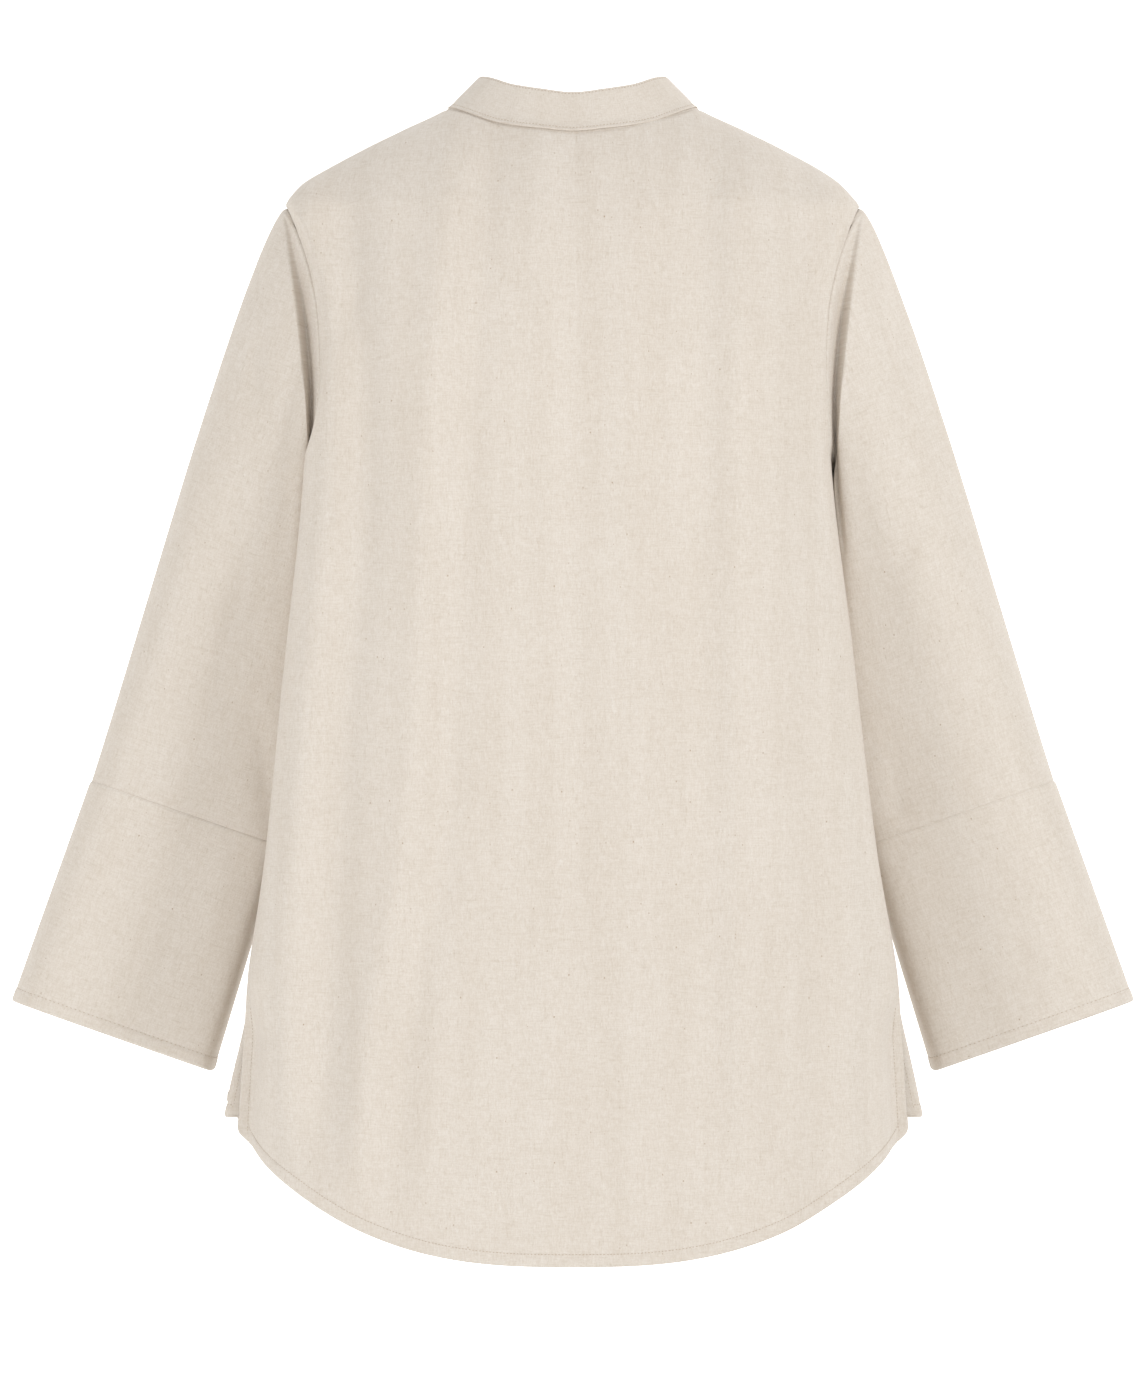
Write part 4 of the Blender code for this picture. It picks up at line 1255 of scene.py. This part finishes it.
for side, sign in (("left", 1), ("right", -1)):
    points, degrees = sleeveRows()
    fromTop, toEnd = ringDistance(points)
    height = sleeveCreases(points, sign, degrees) * soften(fromTop / 0.03) * soften(toEnd / 0.02)
    atTop = bell((degrees - 360) / 24.0)[None, :]
    height -= seams["tuck"] * (1 - 0.8 * atTop) * bell(fromTop / 0.0013)
    height += 0.9 * groove(toEnd)
    makeTube(
        "sleeve_" + side + "_linen", "sleeve_" + side, points, height, sign, sleeveLinen,
        sleevePiece["tuckUnder"])
    points = cuffRows(degrees)
    fromTop, toEnd = ringDistance(points)
    girth = girthAlong(points)
    height = sleeveCreases(points, sign, degrees) * soften(fromTop / 0.01)
    height += 0.5 * groove(fromTop) + rolledEdge(toEnd, seams["cuffHem"])
    height += puckers(girth, toEnd, seams["cuffHem"])
    body, out = makeTube(
        "cuff_" + side + "_linen", "cuff_" + side, points, height, sign, sleeveLinen,
        -sleevePiece["tuckUnder"])
    path, lineOut = crossing((body, out), toEnd, seams["cuffHem"])
    sew("cuffs", path, lineOut, pitch=threadSizes["cuffPitch"])
joinStitches("cuffs", "cuff_stitches")
print("sleeves and cuffs made")


# collar
collarPiece = {
    "height": 0.030,
    "foot": -0.0010,           # its lower edge laps down over the body's
    "proud": 0.0009,
    "thickness": 0.0013,
    "edge": 0.0003,
    "step": 0.0030,
    "lowerStitch": 0.0027,
    "upperStitch": 0.0016,
    "turnLength": 0.080,       # along the wrap edge, the band turns from standing to lying
    "turnWidth": 0.018,
    "stitchDip": 0.00022,
    "stitchDipWidth": 0.0006,
    "backLean": (0.0, -0.37, 0.93),
    "neckLean": (-0.72, -0.05, 0.69),
}


def neckLean(side, share):
    back = np.array(collarPiece["backLean"])
    neck = np.array(collarPiece["neckLean"]) * np.array([side, 1, 1])
    lean = back + (neck - back) * soften(share)[:, None]
    return unit(lean)


def collarHeights():
    low = np.array([0, 0.0003, 0.0007, 0.0012, 0.0017, 0.0022, 0.0027, 0.0033, 0.0042])
    high = collarPiece["height"] - np.array([0.0038, 0.0028, 0.0020, 0.0015, 0.0010, 0.0005, 0.0])
    return np.concatenate([low + collarPiece["foot"], spread(0.0050, 0.0246, 0.0027), high])


def collarFront(side, freeArc, liftRule, heights):
    _, arcs, levels = wrapStations(freeArc, collarPiece["step"])
    start = sideArc(0.0, "front")
    upArc = -shirt["wrapCrossing"] / start
    long = math.hypot(upArc, 1)
    lift = liftRule(arcs, levels)
    folds = lambda a, z: foldHeight(side * a, z, frontFolds) * foldFade(a, z, "front")
    base = panelPoints(arcs, levels, "front", lift + folds(arcs, levels), side)
    lean = neckLean(-side, np.ones(len(arcs)))
    foot = (1 - 0.9 * bell((arcs + start) / collarPiece["turnWidth"]))[:, None]
    flat = soften((arcs + start) / collarPiece["turnLength"])[:, None]
    rows = []
    for h in heights:
        a = arcs + upArc / long * h
        z = levels + h / long
        lying = panelPoints(a, z, "front", lift + folds(a, z), side)
        standing = base + lean * (h * foot if h < 0 else h)
        rows.append(standing + (lying - standing) * flat)
    return np.stack(rows)


def collarBack(heights):
    neckArc = sideArc(0.0, "back") - shirt["sideSeamGap"] / 2
    arcs = spread(0.0, neckArc, collarPiece["step"])
    levels = settle(lambda low: backNeckLevel(onForm(arcs, low, "back")[..., 0]), len(arcs))
    folds = backFoldHeight(arcs, levels) * foldFade(arcs, levels, "back")
    base = panelPoints(arcs, levels, "back", folds)
    lean = neckLean(1, arcs / sideArc(0.0, "back"))
    foot = (1 - 0.9 * bell((arcs[-1] - arcs) / collarPiece["turnWidth"]))[:, None]
    return np.stack([base + lean * (h * foot if h < 0 else h) for h in heights])


def makeCollar():
    heights = collarHeights()
    right = collarFront(1, outerFreeArc, outerLift, heights)[:, ::-1]
    left = collarFront(-1, innerFreeArc, innerLift, heights)
    back = collarBack(heights)
    mirrored = back[:, :0:-1] * np.array([-1.0, 1.0, 1.0])
    grid = np.concatenate([right, mirrored, back, left], axis=1)
    length = girthAlong(grid[len(heights) // 2][None])[0]
    up = heights - heights[0]
    out = unit(np.cross(np.gradient(grid, axis=1), np.gradient(grid, axis=0)))
    if out[len(heights) // 2, right.shape[1] + back.shape[1] - 1, 1] < 0:
        out = -out
    across = np.broadcast_to(length[None, :], grid.shape[:2])
    above = np.broadcast_to(up[:, None], grid.shape[:2])
    toTop = above[-1:] - above
    ends = np.minimum(across, across[:, -1:] - across)
    turns = (length[right.shape[1]], length[right.shape[1] + mirrored.shape[1] + back.shape[1] - 1])
    fromTurn = np.minimum(np.abs(across - turns[0]), np.abs(across - turns[1]))
    atTurn = bell(fromTurn / 0.016)
    proud = collarPiece["proud"] * (1 - 0.9 * atTurn)
    height = proud * (1 - soften((above - 0.002) / 0.004))
    height = height + (0.0007 - 0.0006 * atTurn) * bell((above - 0.0009) / 0.0006)
    height = height - 0.0011 * atTurn * (1 - soften((above - 0.001) / 0.010))
    for gone, line in ((above, "lowerStitch"), (toTop, "upperStitch")):
        dip = bell((gone - collarPiece[line]) / collarPiece["stitchDipWidth"])
        height = height - collarPiece["stitchDip"] * dip
    height = height - 0.0005 * bell(toTop / 0.0006) - 0.0004 * bell(ends / 0.0008)
    height = height + puckers(across, toTop, 0.004) * 0.5 + puckers(across + 0.3, above, 0.004) * 0.6
    points = grid + out * height[..., None]
    uvs = np.stack([across, above + 5.0], axis=-1)
    piece = clothGrid("collar_linen", points, uvs)
    facesOutward(piece, np.array([0.0, -0.05, -0.1]))
    thicken(piece, collarPiece["thickness"])
    roundEdges(piece, collarPiece["edge"], 60)
    finishPiece(piece, "collar", collarLinen)
    sew("collar", *crossing((points, out), above, collarPiece["lowerStitch"]), slack=0.006)
    sew("collar", *crossing((points, out), toTop, collarPiece["upperStitch"]), slack=0.006)
    joinStitches("collar", "collar_stitches")


makeCollar()
print("collar made")


# stage, light and camera
stageSizes = {
    "floor": -1.85,
    "backdrop": -9.6,
    "size": 60.0,
    "floorGlow": 0.15,
    "backdropGlow": 0.90,
    "lightSize": 1.2,
    "lightAim": (0, 0, -0.4),
    "sky": 0.60,
    "lens": 203.0,
}


def makeStage():
    bpy.ops.mesh.primitive_plane_add(size=stageSizes["size"], location=(0, 0, stageSizes["floor"]))
    floor = bpy.context.object
    floor.name = "floor"
    bpy.ops.mesh.primitive_plane_add(size=stageSizes["size"], location=(0, stageSizes["backdrop"], 0),
                                     rotation=(math.pi / 2, 0, 0))
    backdrop = bpy.context.object
    backdrop.name = "backdrop"
    for flat, glow in ((floor, stageSizes["floorGlow"]), (backdrop, stageSizes["backdropGlow"])):
        pale, shader = newMaterial("pale_" + flat.name, 1.0)
        setInputs(shader, {"Base Color": (0.80, 0.80, 0.79, 1.0), "Emission Color": (1.0, 1.0, 1.0, 1.0),
                           "Emission Strength": glow})
        flat.data.materials.append(pale)
        flat.select_set(False)


def makeLight(name, place, power):
    bpy.ops.object.light_add(type="AREA", location=place)
    light = bpy.context.object
    light.name = name
    light.data.size = stageSizes["lightSize"]
    light.data.energy = power
    toward = np.array(stageSizes["lightAim"]) - np.array(place)
    yaw = math.atan2(toward[1], toward[0]) - math.pi / 2
    pitch = math.atan2(toward[2], math.hypot(toward[0], toward[1]))
    light.rotation_euler = (math.pi / 2 + pitch, 0, yaw)
    light.select_set(False)


makeStage()
makeLight("key", (-2.9, 2.8, 1.5), 70)
makeLight("fill", (2.9, 2.8, -0.6), 38)
world = bpy.data.worlds.new("studio")
bpy.context.scene.world = world
world.use_nodes = True
sky = world.node_tree.nodes["Background"].inputs
sky["Color"].default_value = (1.0, 1.0, 1.0, 1.0)
sky["Strength"].default_value = stageSizes["sky"]
bpy.context.scene.view_settings.view_transform = "Standard"

bpy.ops.object.camera_add(location=(0.0003, 5.5, -0.411), rotation=(math.pi / 2, 0, math.pi))
camera = bpy.context.object
camera.data.sensor_width = 36
camera.data.lens = stageSizes["lens"]
bpy.context.scene.camera = camera
camera.select_set(False)
print("stage, light and camera made")
